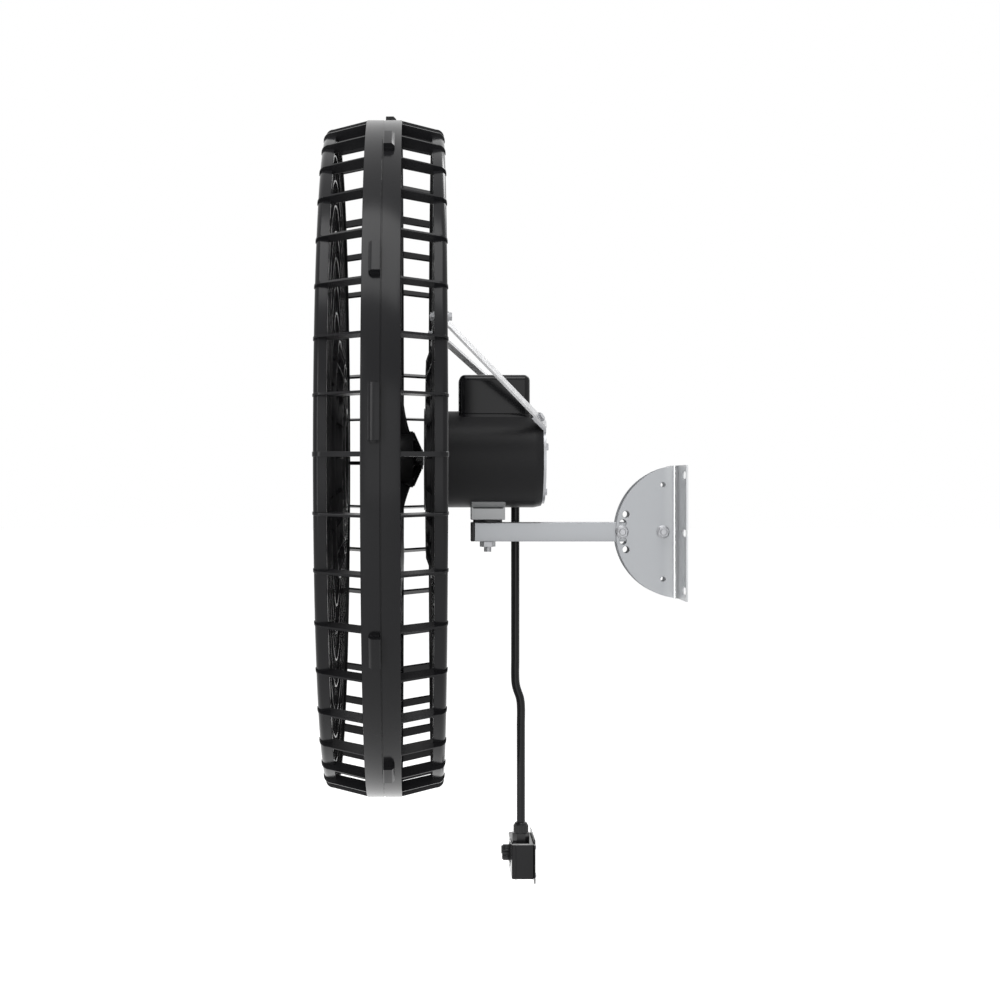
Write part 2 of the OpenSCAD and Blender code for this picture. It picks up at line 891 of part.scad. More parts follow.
module strut_profile() {
    polygon([
        along_strut(strut_t, 0), [tab_start, -pad_face], [tab_start + tab_l, -pad_face],
        [tab_start + tab_l, -pad_face - strut_t],
        [tab_start + strut_t * tan(strut_angle / 2), -pad_face - strut_t],
        along_strut(strut_t, strut_t)
    ]);
}

// Axis of the screw that holds a strut on its ear, pointing outwards
module ear_screw_axis() {
    strut_plane()
        translate(along_strut(ear_screw_set, 0))
            rotate([0, 0, strut_angle - 90])
                rotate([0, 90, 0])
                    children();
}

// Axis of a strut's bolt on the guard, pointing backwards out of the rear face
module strut_bolt_axis() {
    fan_axis()
        rotate([0, 0, -strut_turn])
            translate([strut_bolt_r, 0, -pad_face])
                mirror([0, 0, 1])
                    children();
}

// Plate bolted behind the motor, with a bent ear for each strut
module motor_rear_plate() {
    color("gainsboro")
        difference() {
            union() {
                fan_axis()
                    translate([0, 0, plate_back])
                        linear_extrude(rear_plate_t)
                            intersection() {
                                circle(d = rear_plate_d);
                                translate([-rear_plate_d, -rear_plate_d])
                                    square([rear_plate_d + rear_plate_rise, rear_plate_d * 2]);
                            }
                at_both_sides()
                    strut_plane()
                        translate([0, 0, -strut_w / 2])
                            linear_extrude(strut_w)
                                ear_profile();
            }
            rear_bolt_places()
                translate([0, 0, plate_back - overrun])
                    cylinder(h = rear_plate_t + overrun * 2, d = motor_bolt_d + bolt_gap);
            at_both_sides()
                ear_screw_axis()
                    translate([0, 0, -rear_plate_t - overrun])
                        cylinder(h = rear_plate_t + overrun * 2, d = ear_screw_d);
        }
}

module motor_bolts() {
    color("gainsboro")
        rear_bolt_places()
            union() {
                translate([0, 0, plate_back])
                    mirror([0, 0, 1])
                        hex_head(motor_bolt_d);
                translate([0, 0, plate_back - flange_t])
                    cylinder(h = flange_t + rear_plate_t + end_t, d = motor_bolt_d);
            }
}

module strut() {
    difference() {
        strut_plane()
            translate([0, 0, -strut_w / 2])
                linear_extrude(strut_w)
                    strut_profile();
        ear_screw_axis()
            translate([0, 0, -overrun])
                cylinder(h = strut_t + overrun * 2, d = ear_screw_d);
        strut_bolt_axis()
            translate([0, 0, -overrun])
                cylinder(h = strut_t + overrun * 2, d = strut_bolt_d);
    }
}

module strut_near() {
    color("whitesmoke")
        strut();
}

module strut_far() {
    color("whitesmoke")
        mirror([0, 1, 0])
            strut();
}

module ear_screws() {
    color("black")
        at_both_sides()
            ear_screw_axis()
                union() {
                    translate([0, 0, strut_t])
                        hex_head(ear_screw_d);
                    translate([0, 0, -rear_plate_t - thread_out])
                        cylinder(h = rear_plate_t + thread_out + strut_t + flange_t, d = ear_screw_d);
                }
}

module strut_bolts() {
    bolt_l = strut_t + pad_l + flange_t + strut_bolt_d * head_share + thread_out / 4;
    color("gainsboro")
        at_both_sides()
            strut_bolt_axis()
                union() {
                    translate([0, 0, strut_t])
                        flange_head(strut_bolt_d, head_share);
                    translate([0, 0, strut_t - bolt_l])
                        cylinder(h = bolt_l + flange_t, d = strut_bolt_d);
                }
}

module strut_nuts() {
    color("gainsboro")
        at_both_sides()
            strut_bolt_axis()
                translate([0, 0, -pad_l])
                    mirror([0, 0, 1])
                        flange_nut(strut_bolt_d, head_share);
}

// Base of the top box: a flange that follows the motor's round, with an inner step for the cover
module top_box_base() {
    base_rise = sqrt(motor_r * motor_r - box_w * box_w / 4) - small_round;
    inner_w = box_w - (box_t + slip) * 2;
    inner_l = box_l - (box_t + slip) * 2;
    color("black")
        difference() {
            fan_axis()
                translate([0, 0, capacitor_at])
                    rotate([0, 90, 0])
                        union() {
                            translate([0, 0, base_rise])
                                linear_extrude(box_seam - base_rise)
                                    rounded_rectangle([box_l, box_w], box_round);
                            translate([0, 0, base_rise])
                                linear_extrude(base_in_rise - base_rise)
                                    rounded_rectangle([inner_l, inner_w], box_round - box_t);
                        }
            fan_axis()
                translate([0, 0, motor_back])
                    cylinder(h = motor_l, r = motor_r);
        }
}

// Block with upright edges and top edges rounded alike, standing on the seam
module cover_block(length, width, rise, r) {
    intersection() {
        translate([0, 0, box_seam])
            linear_extrude(rise - box_seam)
                rounded_rectangle([length, width], r);
        translate([0, width / 2, 0])
            rotate([90, 0, 0])
                linear_extrude(width)
                    round_top(length, rise, r);
        rotate([90, 0, 90])
            translate([0, 0, -length / 2])
                linear_extrude(length)
                    round_top(width, rise, r);
    }
}

module round_top(width, rise, r) {
    union() {
        translate([-width / 2, box_seam - overrun])
            square([width, rise - box_seam + overrun - r]);
        translate([-width / 2 + r, box_seam])
            square([width - r * 2, rise - box_seam]);
        for (side = [-1, 1])
            translate([side * (width / 2 - r), rise - r])
                circle(r = r);
    }
}

module top_box_cover() {
    color("black")
        fan_axis()
            translate([0, 0, capacitor_at])
                rotate([0, 90, 0])
                    difference() {
                        cover_block(box_l, box_w, box_rise, box_round);
                        translate([0, 0, -overrun])
                            cover_block(
                                box_l - box_t * 2, box_w - box_t * 2,
                                box_rise - box_t + overrun, box_round - box_t
                            );
                        rotate([0, 90, 0])
                            translate([0, 0, -box_l])
                                cylinder(h = box_l * 2, r = motor_r + slip);
                    }
}

module capacitor() {
    terminal_d = capacitor_d / 8;
    color("silver")
        fan_axis()
            translate([base_in_rise + capacitor_d / 2, 0, capacitor_at - capacitor_l / 2])
                union() {
                    cylinder(h = capacitor_l, d = capacitor_d);
                    for (side = [-1, 1])
                        translate([0, side * capacitor_d / 5, capacitor_l - overrun])
                            cylinder(h = terminal_d + overrun, d = terminal_d);
                }
}

// Side of one half of the guard: band, spokes, corner ring and latches, with the parting plane at z = 0
module guard_rim(latch_turns, long_latch_turns) {
    union() {
        rotate_extrude()
            polygon([
                [guard_r - band_t, 0], [guard_r, 0], [guard_r, band_w - band_bevel],
                [guard_r - band_bevel, band_w], [guard_r - band_t, band_w]
            ]);
        rotate_extrude()
            polygon([
                [grille_r, half_depth - corner_w], [corner_r, half_depth - corner_w],
                [corner_r, half_depth - corner_bevel], [corner_r - corner_bevel, half_depth],
                [grille_r, half_depth]
            ]);
        for (i = [0 : spoke_n - 1])
            rotate([0, 0, i * 360 / spoke_n])
                spoke(i * 4 == spoke_n || i * 4 == spoke_n * 3 ? key_spoke_t : spoke_t);
        for (turn = latch_turns)
            latch(turn, latch_l);
        for (turn = long_latch_turns)
            latch(turn, long_latch_l);
    }
}

// A spoke's outline: its x is the distance from the fan axis, its y runs forwards
module spoke(thickness) {
    round_x = corner_r + spoke_out - spoke_round;
    round_y = half_depth + spoke_proud - spoke_round;
    rotate([90, 0, 0])
        translate([0, 0, -thickness / 2])
            linear_extrude(thickness)
                union() {
                    polygon([
                        [guard_r - band_t / 2, band_w / 4], [guard_r - band_bevel, band_w],
                        [corner_r + spoke_out, round_y], [round_x, half_depth + spoke_proud],
                        [grille_r, half_depth + spoke_proud],
                        [grille_r, half_depth - overrun],
                        [corner_r - corner_t * 3 / 4, half_depth - corner_bevel / 2],
                        [corner_r - corner_t * 3 / 4, half_depth - corner_w],
                        [guard_r - spoke_depth, band_w]
                    ]);
                    intersection() {
                        translate([round_x, round_y])
                            circle(r = spoke_round);
                        translate([round_x, round_y])
                            square([spoke_round, spoke_round]);
                    }
                }
}

// Raised latch on the band, centred on a turn from the top
module latch(turn, length) {
    sweep = length / guard_r * 180 / PI;
    rotate([0, 0, turn - sweep / 2])
        rotate_extrude(angle = sweep)
            polygon([
                [guard_r - band_t / 2, latch_set], [guard_r + latch_h, latch_set],
                [guard_r + latch_h, latch_set + latch_w - latch_bevel],
                [guard_r + latch_h - latch_bevel, latch_set + latch_w],
                [guard_r - band_t / 2, latch_set + latch_w]
            ]);
}

// Depth of the dish at a distance from the fan axis
function dish(r) = r > dish_r ? 0
    : r < dish_flat_r ? dish_depth
    : dish_depth * (dish_r - r) / (dish_r - dish_flat_r);

// Radius of a ring counted inwards from the first, with halves for the fine rings
function ring_at(i) = ring_r - ring_step * i - ring_growth * i * (i - 1) / 2;

module ring(r, thickness, depth) {
    translate([r - thickness / 2, half_depth - dish(r) - depth])
        square([thickness, depth]);
}

// Radial rib that follows the dish
module rib(inner_r) {
    top = half_depth - rib_sink;
    rotate([90, 0, 0])
        translate([0, 0, -rib_t / 2])
            linear_extrude(rib_t)
                polygon(concat(
                    [[grille_r - overrun, top], [grille_r - overrun, top - rib_depth]],
                    inner_r > dish_r
                        ? [[inner_r, top - rib_depth], [inner_r, top]]
                        : [
                            [dish_r, top - rib_depth], [dish_flat_r, top - rib_depth - dish_depth],
                            [inner_r, top - rib_depth - dish_depth], [inner_r, top - dish_depth],
                            [dish_flat_r, top - dish_depth], [dish_r, top]
                        ]
                ));
}

// Face of one half of the guard: deep and fine rings, ribs and the plate in the middle
module guard_grille() {
    union() {
        rotate_extrude()
            union() {
                translate([grille_r - ring_t, half_depth - ring_depth])
                    square([ring_t, ring_depth]);
                for (i = [0 : ring_n - 1])
                    ring(ring_at(i), ring_t, ring_depth);
                for (i = [0 : ring_n - 2])
                    ring(ring_at(i + 1 / 2), fine_t, fine_depth);
                for (r = [dish_flat_r - ring_step / 3, dish_flat_r - ring_step])
                    ring(r, fine_t, ring_depth);
            }
        for (i = [0 : spoke_n - 1])
            rotate([0, 0, i * 360 / spoke_n])
                rib(i % 2 == 0 ? centre_d / 2 - centre_t : short_rib_r);
        translate([0, 0, half_depth - dish_depth - centre_t])
            cylinder(h = centre_t, d = centre_d);
        translate([0, 0, half_depth - dish_depth - ring_depth])
            difference() {
                cylinder(h = ring_depth - centre_t / 2, d = centre_d);
                translate([0, 0, -overrun])
                    cylinder(h = ring_depth + overrun * 2, d = centre_d - centre_t * 2);
            }
    }
}

module front_guard_rim() {
    color("black")
        fan_axis()
            guard_rim([-60, -120, 60, 120], [-84, 84]);
}

module rear_guard_rim() {
    color("black")
        fan_axis()
            mirror([0, 0, 1])
                guard_rim([-31, -149, 0, 149, 31], []);
}

module front_guard_grille() {
    color("black")
        fan_axis()
            guard_grille();
}

// The rear face has a hole for the motor's nose, four bolt holes and the pads under the struts
module rear_guard_grille() {
    color("black")
        difference() {
            union() {
                fan_axis()
                    mirror([0, 0, 1])
                        guard_grille();
                at_both_sides()
                    strut_bolt_axis()
                        translate([0, 0, -pad_l])
                            cylinder(h = pad_l, d = pad_d);
            }
            fan_axis()
                translate([0, 0, -half_depth])
                    cylinder(h = half_depth, r = nose_r + slip);
            guard_bolt_places()
                translate([0, 0, motor_front - overrun])
                    cylinder(h = centre_t + overrun * 2, d = guard_bolt_d);
            at_both_sides()
                strut_bolt_axis()
                    translate([0, 0, -pad_l - overrun])
                        cylinder(h = pad_l + overrun * 2, d = strut_bolt_d);
        }
}

module guard_bolts() {
    color("gainsboro")
        guard_bolt_places()
            union() {
                translate([0, 0, motor_front + centre_t])
                    hex_head(guard_bolt_d);
                translate([0, 0, shell_front])
                    cylinder(h = shield_t + centre_t + flange_t, d = guard_bolt_d);
            }
}

module motor_shaft() {
    shaft_back = rear_bearing_at + slip;
    color("silver")
        fan_axis()
            translate([0, 0, shaft_back])
                cylinder(h = -shaft_back - hub_back + hub_l / 2, d = shaft_d);
}

module rotor_core() {
    color("slategray")
        fan_axis()
            translate([0, 0, stator_mid - stator_l / 2])
                difference() {
                    cylinder(h = stator_l, d = rotor_d);
                    translate([0, 0, -overrun])
                        cylinder(h = stator_l + overrun * 2, d = shaft_d);
                }
}

function blend(a, b, share) = a + (b - a) * share;
function blade_pitch(s) = blend(tip_pitch, root_pitch, pow(1 - s, pitch_fall_power));
function blade_chord(s) = blend(root_chord, tip_chord, s) * (1 - tip_round_share * pow(s, tip_round_power));

// A point of a blade's section: s runs from root to tip, c across the blade, side is its face
function blade_point(s, c, side) =
    let (
        across = c * blade_chord(s),
        bow = blade_camber * (1 - 4 * c * c)
            + side * blade_t / 2 * (1 - (1 - edge_t_share) * 4 * c * c)
    )
    [
        blend(hub_d / 2 - root_overlap, blade_d / 2, s),
        across * cos(blade_pitch(s)) - bow * sin(blade_pitch(s)) + blade_sweep * s * s,
        across * sin(blade_pitch(s)) + bow * cos(blade_pitch(s)) - blade_back
    ];

module blade() {
    loop_n = (chord_n + 1) * 2;
    points = [
        for (j = [0 : station_n])
            for (k = [0 : loop_n - 1])
                k <= chord_n
                    ? blade_point(j / station_n, k / chord_n - 1 / 2, 1)
                    : blade_point(j / station_n, (loop_n - 1 - k) / chord_n - 1 / 2, -1)
    ];
    sides = [
        for (j = [0 : station_n - 1])
            for (k = [0 : loop_n - 1])
                let (
                    a = j * loop_n + k,
                    b = j * loop_n + (k + 1) % loop_n
                )
                each [[a, b, b + loop_n], [a, b + loop_n, a + loop_n]]
    ];
    ends = [
        for (k = [0 : chord_n - 1])
            let (
                a = k,
                b = loop_n - 1 - k,
                far = station_n * loop_n
            )
            each [
                [a, b, b - 1], [a, b - 1, a + 1],
                [far + a, far + b - 1, far + b], [far + a, far + a + 1, far + b - 1]
            ]
    ];
    polyhedron(points = points, faces = concat(sides, ends));
}

// Hub with a cone behind it, bored for the shaft, and the blades round it
module fan_blade() {
    front = hub_l - hub_back;
    color("black")
        fan_axis()
            difference() {
                union() {
                    rotate_extrude()
                        polygon([
                            [0, -hub_back - cone_l], [neck_d / 2, -hub_back - cone_l],
                            [neck_d / 2, neck_l - hub_back - cone_l],
                            [hub_d / 2, -hub_back], [hub_d / 2, front - hub_wall],
                            [hub_d / 2 - hub_wall, front], [0, front]
                        ]);
                    for (i = [0 : blade_n - 1])
                        rotate([0, 0, i * 360 / blade_n])
                            blade();
                }
                translate([0, 0, -hub_back - cone_l - overrun])
                    cylinder(h = cone_l + hub_l / 2 + overrun, d = shaft_d);
                translate([0, 0, front - hub_cavity_l + hub_wall])
                    difference() {
                        cylinder(h = hub_cavity_l, r = hub_d / 2 - hub_wall * 2);
                        translate([0, 0, -overrun])
                            cylinder(h = hub_cavity_l - hub_wall, d = neck_d);
                    }
                translate([0, 0, set_screw_back - hub_back - cone_l])
                    rotate([0, 90, 0])
                        cylinder(h = hub_d, d = set_screw_d);
            }
}

module hub_set_screw() {
    color("silver")
        fan_axis()
            translate([shaft_d / 2, 0, set_screw_back - hub_back - cone_l])
                rotate([0, 90, 0])
                    cylinder(h = neck_d / 2 - shaft_d / 2 + small_round, d = set_screw_d);
}

// Tapered sleeve under the entry box, with two rings round it
module cord_strain_relief() {
    color("black")
        translate([guard_x - motor_front + entry_set, entry_out, entry_rise])
            mirror([0, 0, 1])
                rotate_extrude()
                    polygon([
                        [0, 0], [relief_d / 2, 0], [relief_d / 2, relief_l / 8],
                        [blend(relief_d, relief_tip_d, 1 / 3) / 2, relief_l / 6],
                        [relief_tip_d / 2, relief_l], [0, relief_l]
                    ]);
}

// Direction of the cord at a point of its route
function route_way(path, i) =
    let (
        back = path[max(i - 1, 0)],
        ahead = path[min(i + 1, len(path) - 1)]
    )
    (ahead - back) / norm(ahead - back);

// Tube swept along a route that stays in a plane of one Y
module swept_tube(path, d, sides) {
    points = [
        for (i = [0 : len(path) - 1])
            for (k = [0 : sides - 1])
                let (
                    way = route_way(path, i),
                    across = [way[2], 0, -way[0]],
                    turn = k * 360 / sides
                )
                path[i] + across * cos(turn) * d / 2 + [0, 1, 0] * sin(turn) * d / 2
    ];
    walls = [
        for (i = [0 : len(path) - 2])
            for (k = [0 : sides - 1])
                let (
                    a = i * sides + k,
                    b = i * sides + (k + 1) % sides
                )
                each [[a, a + sides, b + sides], [a, b + sides, b]]
    ];
    last = (len(path) - 1) * sides;
    ends = [
        [for (k = [0 : sides - 1]) k],
        [for (k = [sides - 1 : -1 : 0]) last + k]
    ];
    polyhedron(points = points, faces = concat(walls, ends));
}

module power_cord() {
    color("black")
        swept_tube(cord_path, cord_d, cord_sides);
}

// Gland on top of the control box: a collar over a hexagon
module cord_gland() {
    color("black")
        translate([cord_end[0], cord_end[1], control_top])
            union() {
                cylinder(h = gland_hex_h, d = gland_af / cos(180 / hex_sides), $fn = hex_sides);
                translate([0, 0, gland_hex_h - overrun])
                    cylinder(h = gland_collar_h + overrun, d = gland_af);
            }
}

// Shell of the speed control, open towards its back plate
module control_box() {
    inner_h = control_h - control_t * 2;
    inner_w = control_w - control_t * 2;
    color("black")
        difference() {
            union() {
                translate([control_front_x, control_y, control_mid])
                    rotate([90, 0, 90])
                        linear_extrude(control_d)
                            difference() {
                                rounded_rectangle([control_w, control_h], control_t);
                                rounded_rectangle([inner_w, inner_h], control_t / 2);
                            }
                translate([control_front_x, control_y, control_mid])
                    rotate([90, 0, 90])
                        linear_extrude(control_t)
                            rounded_rectangle([control_w, control_h], control_t);
                control_corners()
                    translate([0, 0, -control_d + control_t / 2])
                        cylinder(h = control_d - control_t / 2, d = control_boss_d);
            }
            translate([control_front_x - overrun, control_y, knob_z])
                rotate([0, 90, 0])
                    cylinder(h = control_t + overrun * 2, d = spindle_d + running * 2);
            control_corners()
                translate([0, 0, -control_screw_l])
                    cylinder(h = control_screw_l + overrun, d = control_screw_d);
        }
}

// The four screw places of the control box, pointing out of its back
module control_corners() {
    side_y = control_w / 2 - control_t / 2 - control_boss_d / 2;
    side_z = control_h / 2 - control_t / 2 - control_boss_d / 2;
    for (y = [-1, 1], z = [-1, 1])
        translate([control_back_x, control_y + y * side_y, control_mid + z * side_z])
            rotate([0, 90, 0])
                children();
}

module control_box_plate() {
    color("black")
        difference() {
            translate([control_back_x, control_y, control_mid])
                rotate([90, 0, 90])
                    linear_extrude(control_plate_t)
                        rounded_rectangle([control_plate_w, control_plate_h], control_t);
            control_corners()
                translate([0, 0, -overrun])
                    cylinder(h = control_plate_t + overrun * 2, d = control_screw_d);
        }
}

module control_screws() {
    color("silver")
        control_corners()
            union() {
                translate([0, 0, -control_screw_l])
                    cylinder(h = control_screw_l + control_plate_t + control_screw_d / 2, d = control_screw_d);
                translate([0, 0, control_plate_t])
                    cylinder(h = control_screw_d / 2, d = control_screw_d * 2);
            }
}

// Turning part that holds the speed, fixed behind the front wall
module speed_switch() {
    color("dimgray")
        difference() {
            translate([control_front_x + control_t, control_y - switch_w / 2, knob_z - switch_w / 2])
                cube([switch_l, switch_w, switch_w]);
            translate([control_front_x, control_y, knob_z])
                rotate([0, 90, 0])
                    cylinder(h = control_t + switch_l - control_t, d = spindle_d + running * 2);
        }
}

// Fluted knob with a raised pointer and the spindle behind it
module speed_knob() {
    color("black")
        translate([control_front_x - knob_gap, control_y, knob_z])
            rotate([0, -90, 0])
                difference() {
                    union() {
                        cylinder(h = knob_h, d = knob_d);
                        translate([0, 0, -knob_gap - control_t - switch_l / 2])
                            cylinder(h = knob_gap + control_t + switch_l / 2 + overrun, d = spindle_d);
                        translate([0, -pointer_w / 2, knob_h - overrun])
                            cube([knob_d / 2 - pointer_w / 2, pointer_w, pointer_h + overrun]);
                    }
                    for (i = [0 : knob_flutes - 1])
                        rotate([0, 0, i * 360 / knob_flutes])
                            translate([knob_d / 2, 0, knob_h / 5])
                                cylinder(h = knob_h, d = knob_flute_d);
                }
}

bracket_plate_near();
bracket_plate_far();
pivot_bolt();
pivot_nut();
lock_screws();
arm_tube();
arm_end_cap();
swivel_washer();
swivel_bolt();
swivel_nut();
foot_bracket();
foot_screws();
motor_shell();
front_shield();
front_bearing();
rear_bearing();
stator();
windings();
motor_rear_plate();
motor_bolts();
top_box_base();
top_box_cover();
capacitor();
strut_near();
strut_far();
ear_screws();
strut_bolts();
strut_nuts();
front_guard_rim();
front_guard_grille();
rear_guard_rim();
rear_guard_grille();
guard_bolts();
motor_shaft();
rotor_core();
fan_blade();
hub_set_screw();
cord_strain_relief();
power_cord();
cord_gland();
control_box();
control_box_plate();
control_screws();
speed_switch();
speed_knob();
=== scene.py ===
import json
import math

import bmesh
import bpy
from mathutils import Matrix, Vector


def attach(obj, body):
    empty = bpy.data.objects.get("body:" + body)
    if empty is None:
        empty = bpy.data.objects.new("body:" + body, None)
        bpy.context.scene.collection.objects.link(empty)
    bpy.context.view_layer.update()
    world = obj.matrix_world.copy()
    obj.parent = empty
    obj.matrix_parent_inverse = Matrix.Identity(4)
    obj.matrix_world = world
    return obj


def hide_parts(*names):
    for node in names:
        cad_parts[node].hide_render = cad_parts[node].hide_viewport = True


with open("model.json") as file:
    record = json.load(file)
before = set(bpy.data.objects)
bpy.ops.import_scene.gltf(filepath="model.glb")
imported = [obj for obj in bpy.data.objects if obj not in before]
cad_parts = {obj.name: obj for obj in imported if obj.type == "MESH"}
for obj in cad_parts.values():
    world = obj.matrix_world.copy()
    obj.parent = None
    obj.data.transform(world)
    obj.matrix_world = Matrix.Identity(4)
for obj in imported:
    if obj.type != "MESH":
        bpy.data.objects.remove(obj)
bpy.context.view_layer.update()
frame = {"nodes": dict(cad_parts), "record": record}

# Studio.
# The fan is seen square from its side, a little below its axis, in front of plain white.
# The floor is pale, and stays white in the picture except where the fan shades it.
camera = bpy.data.objects.new("camera", bpy.data.cameras.new("camera"))
camera.data.lens = 70.84
camera.data.sensor_width = 36
camera.data.shift_x = 0.0875
camera.data.shift_y = -0.0138
camera.data.clip_end = 50
camera.location = (-0.3447, -2.558, 0.0591)
camera.rotation_euler = (math.pi / 2, 0, 0)
bpy.context.scene.collection.objects.link(camera)
bpy.context.scene.camera = camera
bpy.context.scene.view_settings.view_transform = "Standard"


class Signal:
    """A shader socket that Python's operators work on."""

    def __init__(self, owner, socket):
        self.owner = owner
        self.socket = socket

    def maths(self, operation, first, second):
        return self.owner.node("ShaderNodeMath", {"operation": operation}, {0: first, 1: second})

    def __add__(self, other):
        return self.maths("ADD", self, other)

    def __sub__(self, other):
        return self.maths("SUBTRACT", self, other)

    def __rsub__(self, other):
        return self.maths("SUBTRACT", other, self)

    def __mul__(self, other):
        return self.maths("MULTIPLY", self, other)

    __radd__ = __add__
    __rmul__ = __mul__

    def over(self, low, high):
        """0 below low, 1 above high, and a smooth step between."""
        return self.owner.node(
            "ShaderNodeMapRange", {"interpolation_type": "SMOOTHSTEP"},
            {"Value": self, "From Min": low, "From Max": high},
        )


class Nodes:
    """The shader nodes of a material or of the world."""

    def __init__(self, tree):
        self.tree = tree

    def node(self, kind, settings=None, sockets=None, out=0):
        """Adds a node with its settings, and the values or signals of its sockets."""
        made = self.tree.nodes.new(kind)
        for name, value in (settings or {}).items():
            setattr(made, name, value)
        for name, value in (sockets or {}).items():
            if isinstance(value, Signal):
                self.tree.links.new(value.socket, made.inputs[name])
            else:
                made.inputs[name].default_value = value
        return Signal(self, made.outputs[out])

    def shown(self):
        """1 on rays that show what is behind, straight or in metal or glass, 0 on the others."""
        rays = self.node("ShaderNodeLightPath", out="Is Camera Ray")
        for ray in ("Is Glossy Ray", "Is Transmission Ray"):
            rays = rays + self.node("ShaderNodeLightPath", out=ray)
        return rays

    def end_with(self, shader, output):
        """Shows the shader, through the output node of that name."""
        self.tree.links.new(shader.socket, self.tree.nodes[output].inputs["Surface"])


class Finish(Nodes):
    """A material with one main shader."""

    def __init__(self, name, **fixed):
        self.material = bpy.data.materials.new(name)
        self.material.use_nodes = True
        super().__init__(self.material.node_tree)
        self.shader = self.tree.nodes["Principled BSDF"]
        for socket, value in fixed.items():
            self.shader.inputs[socket.replace("_", " ")].default_value = value

    def place(self, scale=(1, 1, 1)):
        """Where a point lies on the object, stretched to run a pattern along a direction."""
        here = self.node("ShaderNodeTexCoord", out="Object")
        return self.node("ShaderNodeMapping", {}, {"Vector": here, "Scale": scale})

    def along(self, axis):
        """How far a point lies along an axis of the object, in metres."""
        return self.node("ShaderNodeSeparateXYZ", {}, {0: self.place()}, out=axis)

    def noise(self, scale, detail=2.0, stretch=(1, 1, 1)):
        return self.node(
            "ShaderNodeTexNoise", {},
            {"Vector": self.place(stretch), "Scale": scale, "Detail": detail},
        )

    def mix(self, share, first, second):
        values = {0: share, 6: first, 7: second}
        return self.node("ShaderNodeMix", {"data_type": "RGBA"}, values, out=2)

    def feed(self, **signals):
        for name, signal in signals.items():
            self.tree.links.new(signal.socket, self.shader.inputs[name.replace("_", " ")])

    def bump(self, height, depth, strength):
        """Raises the surface by height, which runs from 0 to 1 over a depth in metres."""
        self.feed(Normal=self.node(
            "ShaderNodeBump", {}, {"Height": height, "Distance": depth, "Strength": strength},
        ))


white = (1, 1, 1, 1)
floor_z = -0.62
floor_middle_y = 8
floor_lift = 0.66
sky_dim = 0.42
bpy.ops.mesh.primitive_plane_add(size=40, location=(0, 0, 0))
floor = bpy.context.object
floor.name = "floor"
floor.data.transform(Matrix.Translation((0, floor_middle_y, floor_z)))
floor_paint = Finish("floor_paint", Roughness=0.9)
floor_cloud = floor_paint.noise(1.5)
floor_paint.feed(
    Base_Color=floor_paint.mix(floor_cloud, (0.80, 0.80, 0.80, 1), (0.82, 0.82, 0.82, 1)),
)
floor_shade = Signal(floor_paint, floor_paint.shader.outputs[0])
floor_glow = floor_paint.node(
    "ShaderNodeEmission", {}, {"Color": white, "Strength": floor_paint.shown() * floor_lift},
)
floor_both = floor_paint.node("ShaderNodeAddShader", {}, {0: floor_shade, 1: floor_glow})
floor_paint.end_with(floor_both, "Material Output")
floor.data.materials.append(floor_paint.material)

world = bpy.data.worlds.new("studio")
bpy.context.scene.world = world
world.use_nodes = True
sky = Nodes(world.node_tree)
sky_light = sky.node("ShaderNodeBackground", {}, {"Color": white, "Strength": sky_dim})
sky_white = sky.node("ShaderNodeBackground", {}, {"Color": white, "Strength": 1.0})
sky_both = sky.node("ShaderNodeMixShader", {}, {0: sky.shown(), 1: sky_light, 2: sky_white})
sky.end_with(sky_both, "World Output")


def softbox(name, place, aim, width, height, power):
    """A lamp of a size in metres, turned to a point."""
    lamp = bpy.data.objects.new(name, bpy.data.lights.new(name, "AREA"))
    lamp.data.shape = "RECTANGLE"
    lamp.data.size = width
    lamp.data.size_y = height
    lamp.data.energy = power
    lamp.location = place
    lamp.rotation_euler = (Vector(aim) - Vector(place)).to_track_quat("-Z", "Y").to_euler()
    bpy.context.scene.collection.objects.link(lamp)


softbox(
    "key_lamp", place=(-0.55, -1.15, 2.6), aim=(-0.35, 0, 0.05), width=2.4, height=1.6, power=54,
)
softbox("fill_lamp", place=(-0.3, -3.4, 0.2), aim=(-0.2, 0, 0), width=2.4, height=2.4, power=22)
softbox("side_lamp", place=(-1.7, -2.2, 0.4), aim=(-0.1, 0, 0), width=0.5, height=2.2, power=20)
softbox("back_lamp", place=(1.0, 1.4, 1.8), aim=(-0.3, 0, 0.1), width=0.9, height=0.9, power=16)

# Cord.
# A round black cord with a rubber jacket leaves a box on the motor's far side.
# It hangs behind the arm.
# It sets forward a little above the gland of the speed control, as it does from being coiled.
cord_d = 11.2
cord_y = 69
cord_route = [
    (-207.5, 52), (-207.5, 30), (-207.5, 5), (-207.5, -20), (-207.5, -45), (-207.5, -70),
    (-207.5, -95), (-207.5, -120), (-207.5, -145), (-207.5, -170), (-207.5, -198), (-207, -204),
    (-205.8, -210), (-203.8, -216), (-201.7, -222), (-200.5, -228), (-200, -234), (-200, -260),
    (-200, -285), (-200, -310), (-200, -335), (-200, -360), (-200, -389),
]
cord_points = [Vector((x, cord_y, z)) * 0.001 for x, z in cord_route]
cord_curve = bpy.data.curves.new("cord", "CURVE")
cord_curve.dimensions = "3D"
cord_curve.bevel_depth = cord_d * 0.001 / 2
cord_curve.bevel_resolution = 5
cord_curve.use_fill_caps = True
cord_line = cord_curve.splines.new("BEZIER")
cord_line.bezier_points.add(len(cord_points) - 1)
for knot, point in zip(cord_line.bezier_points, cord_points):
    knot.co = point
    knot.handle_left_type = knot.handle_right_type = "AUTO"
cord = bpy.data.objects.new("cord", cord_curve)
bpy.context.scene.collection.objects.link(cord)

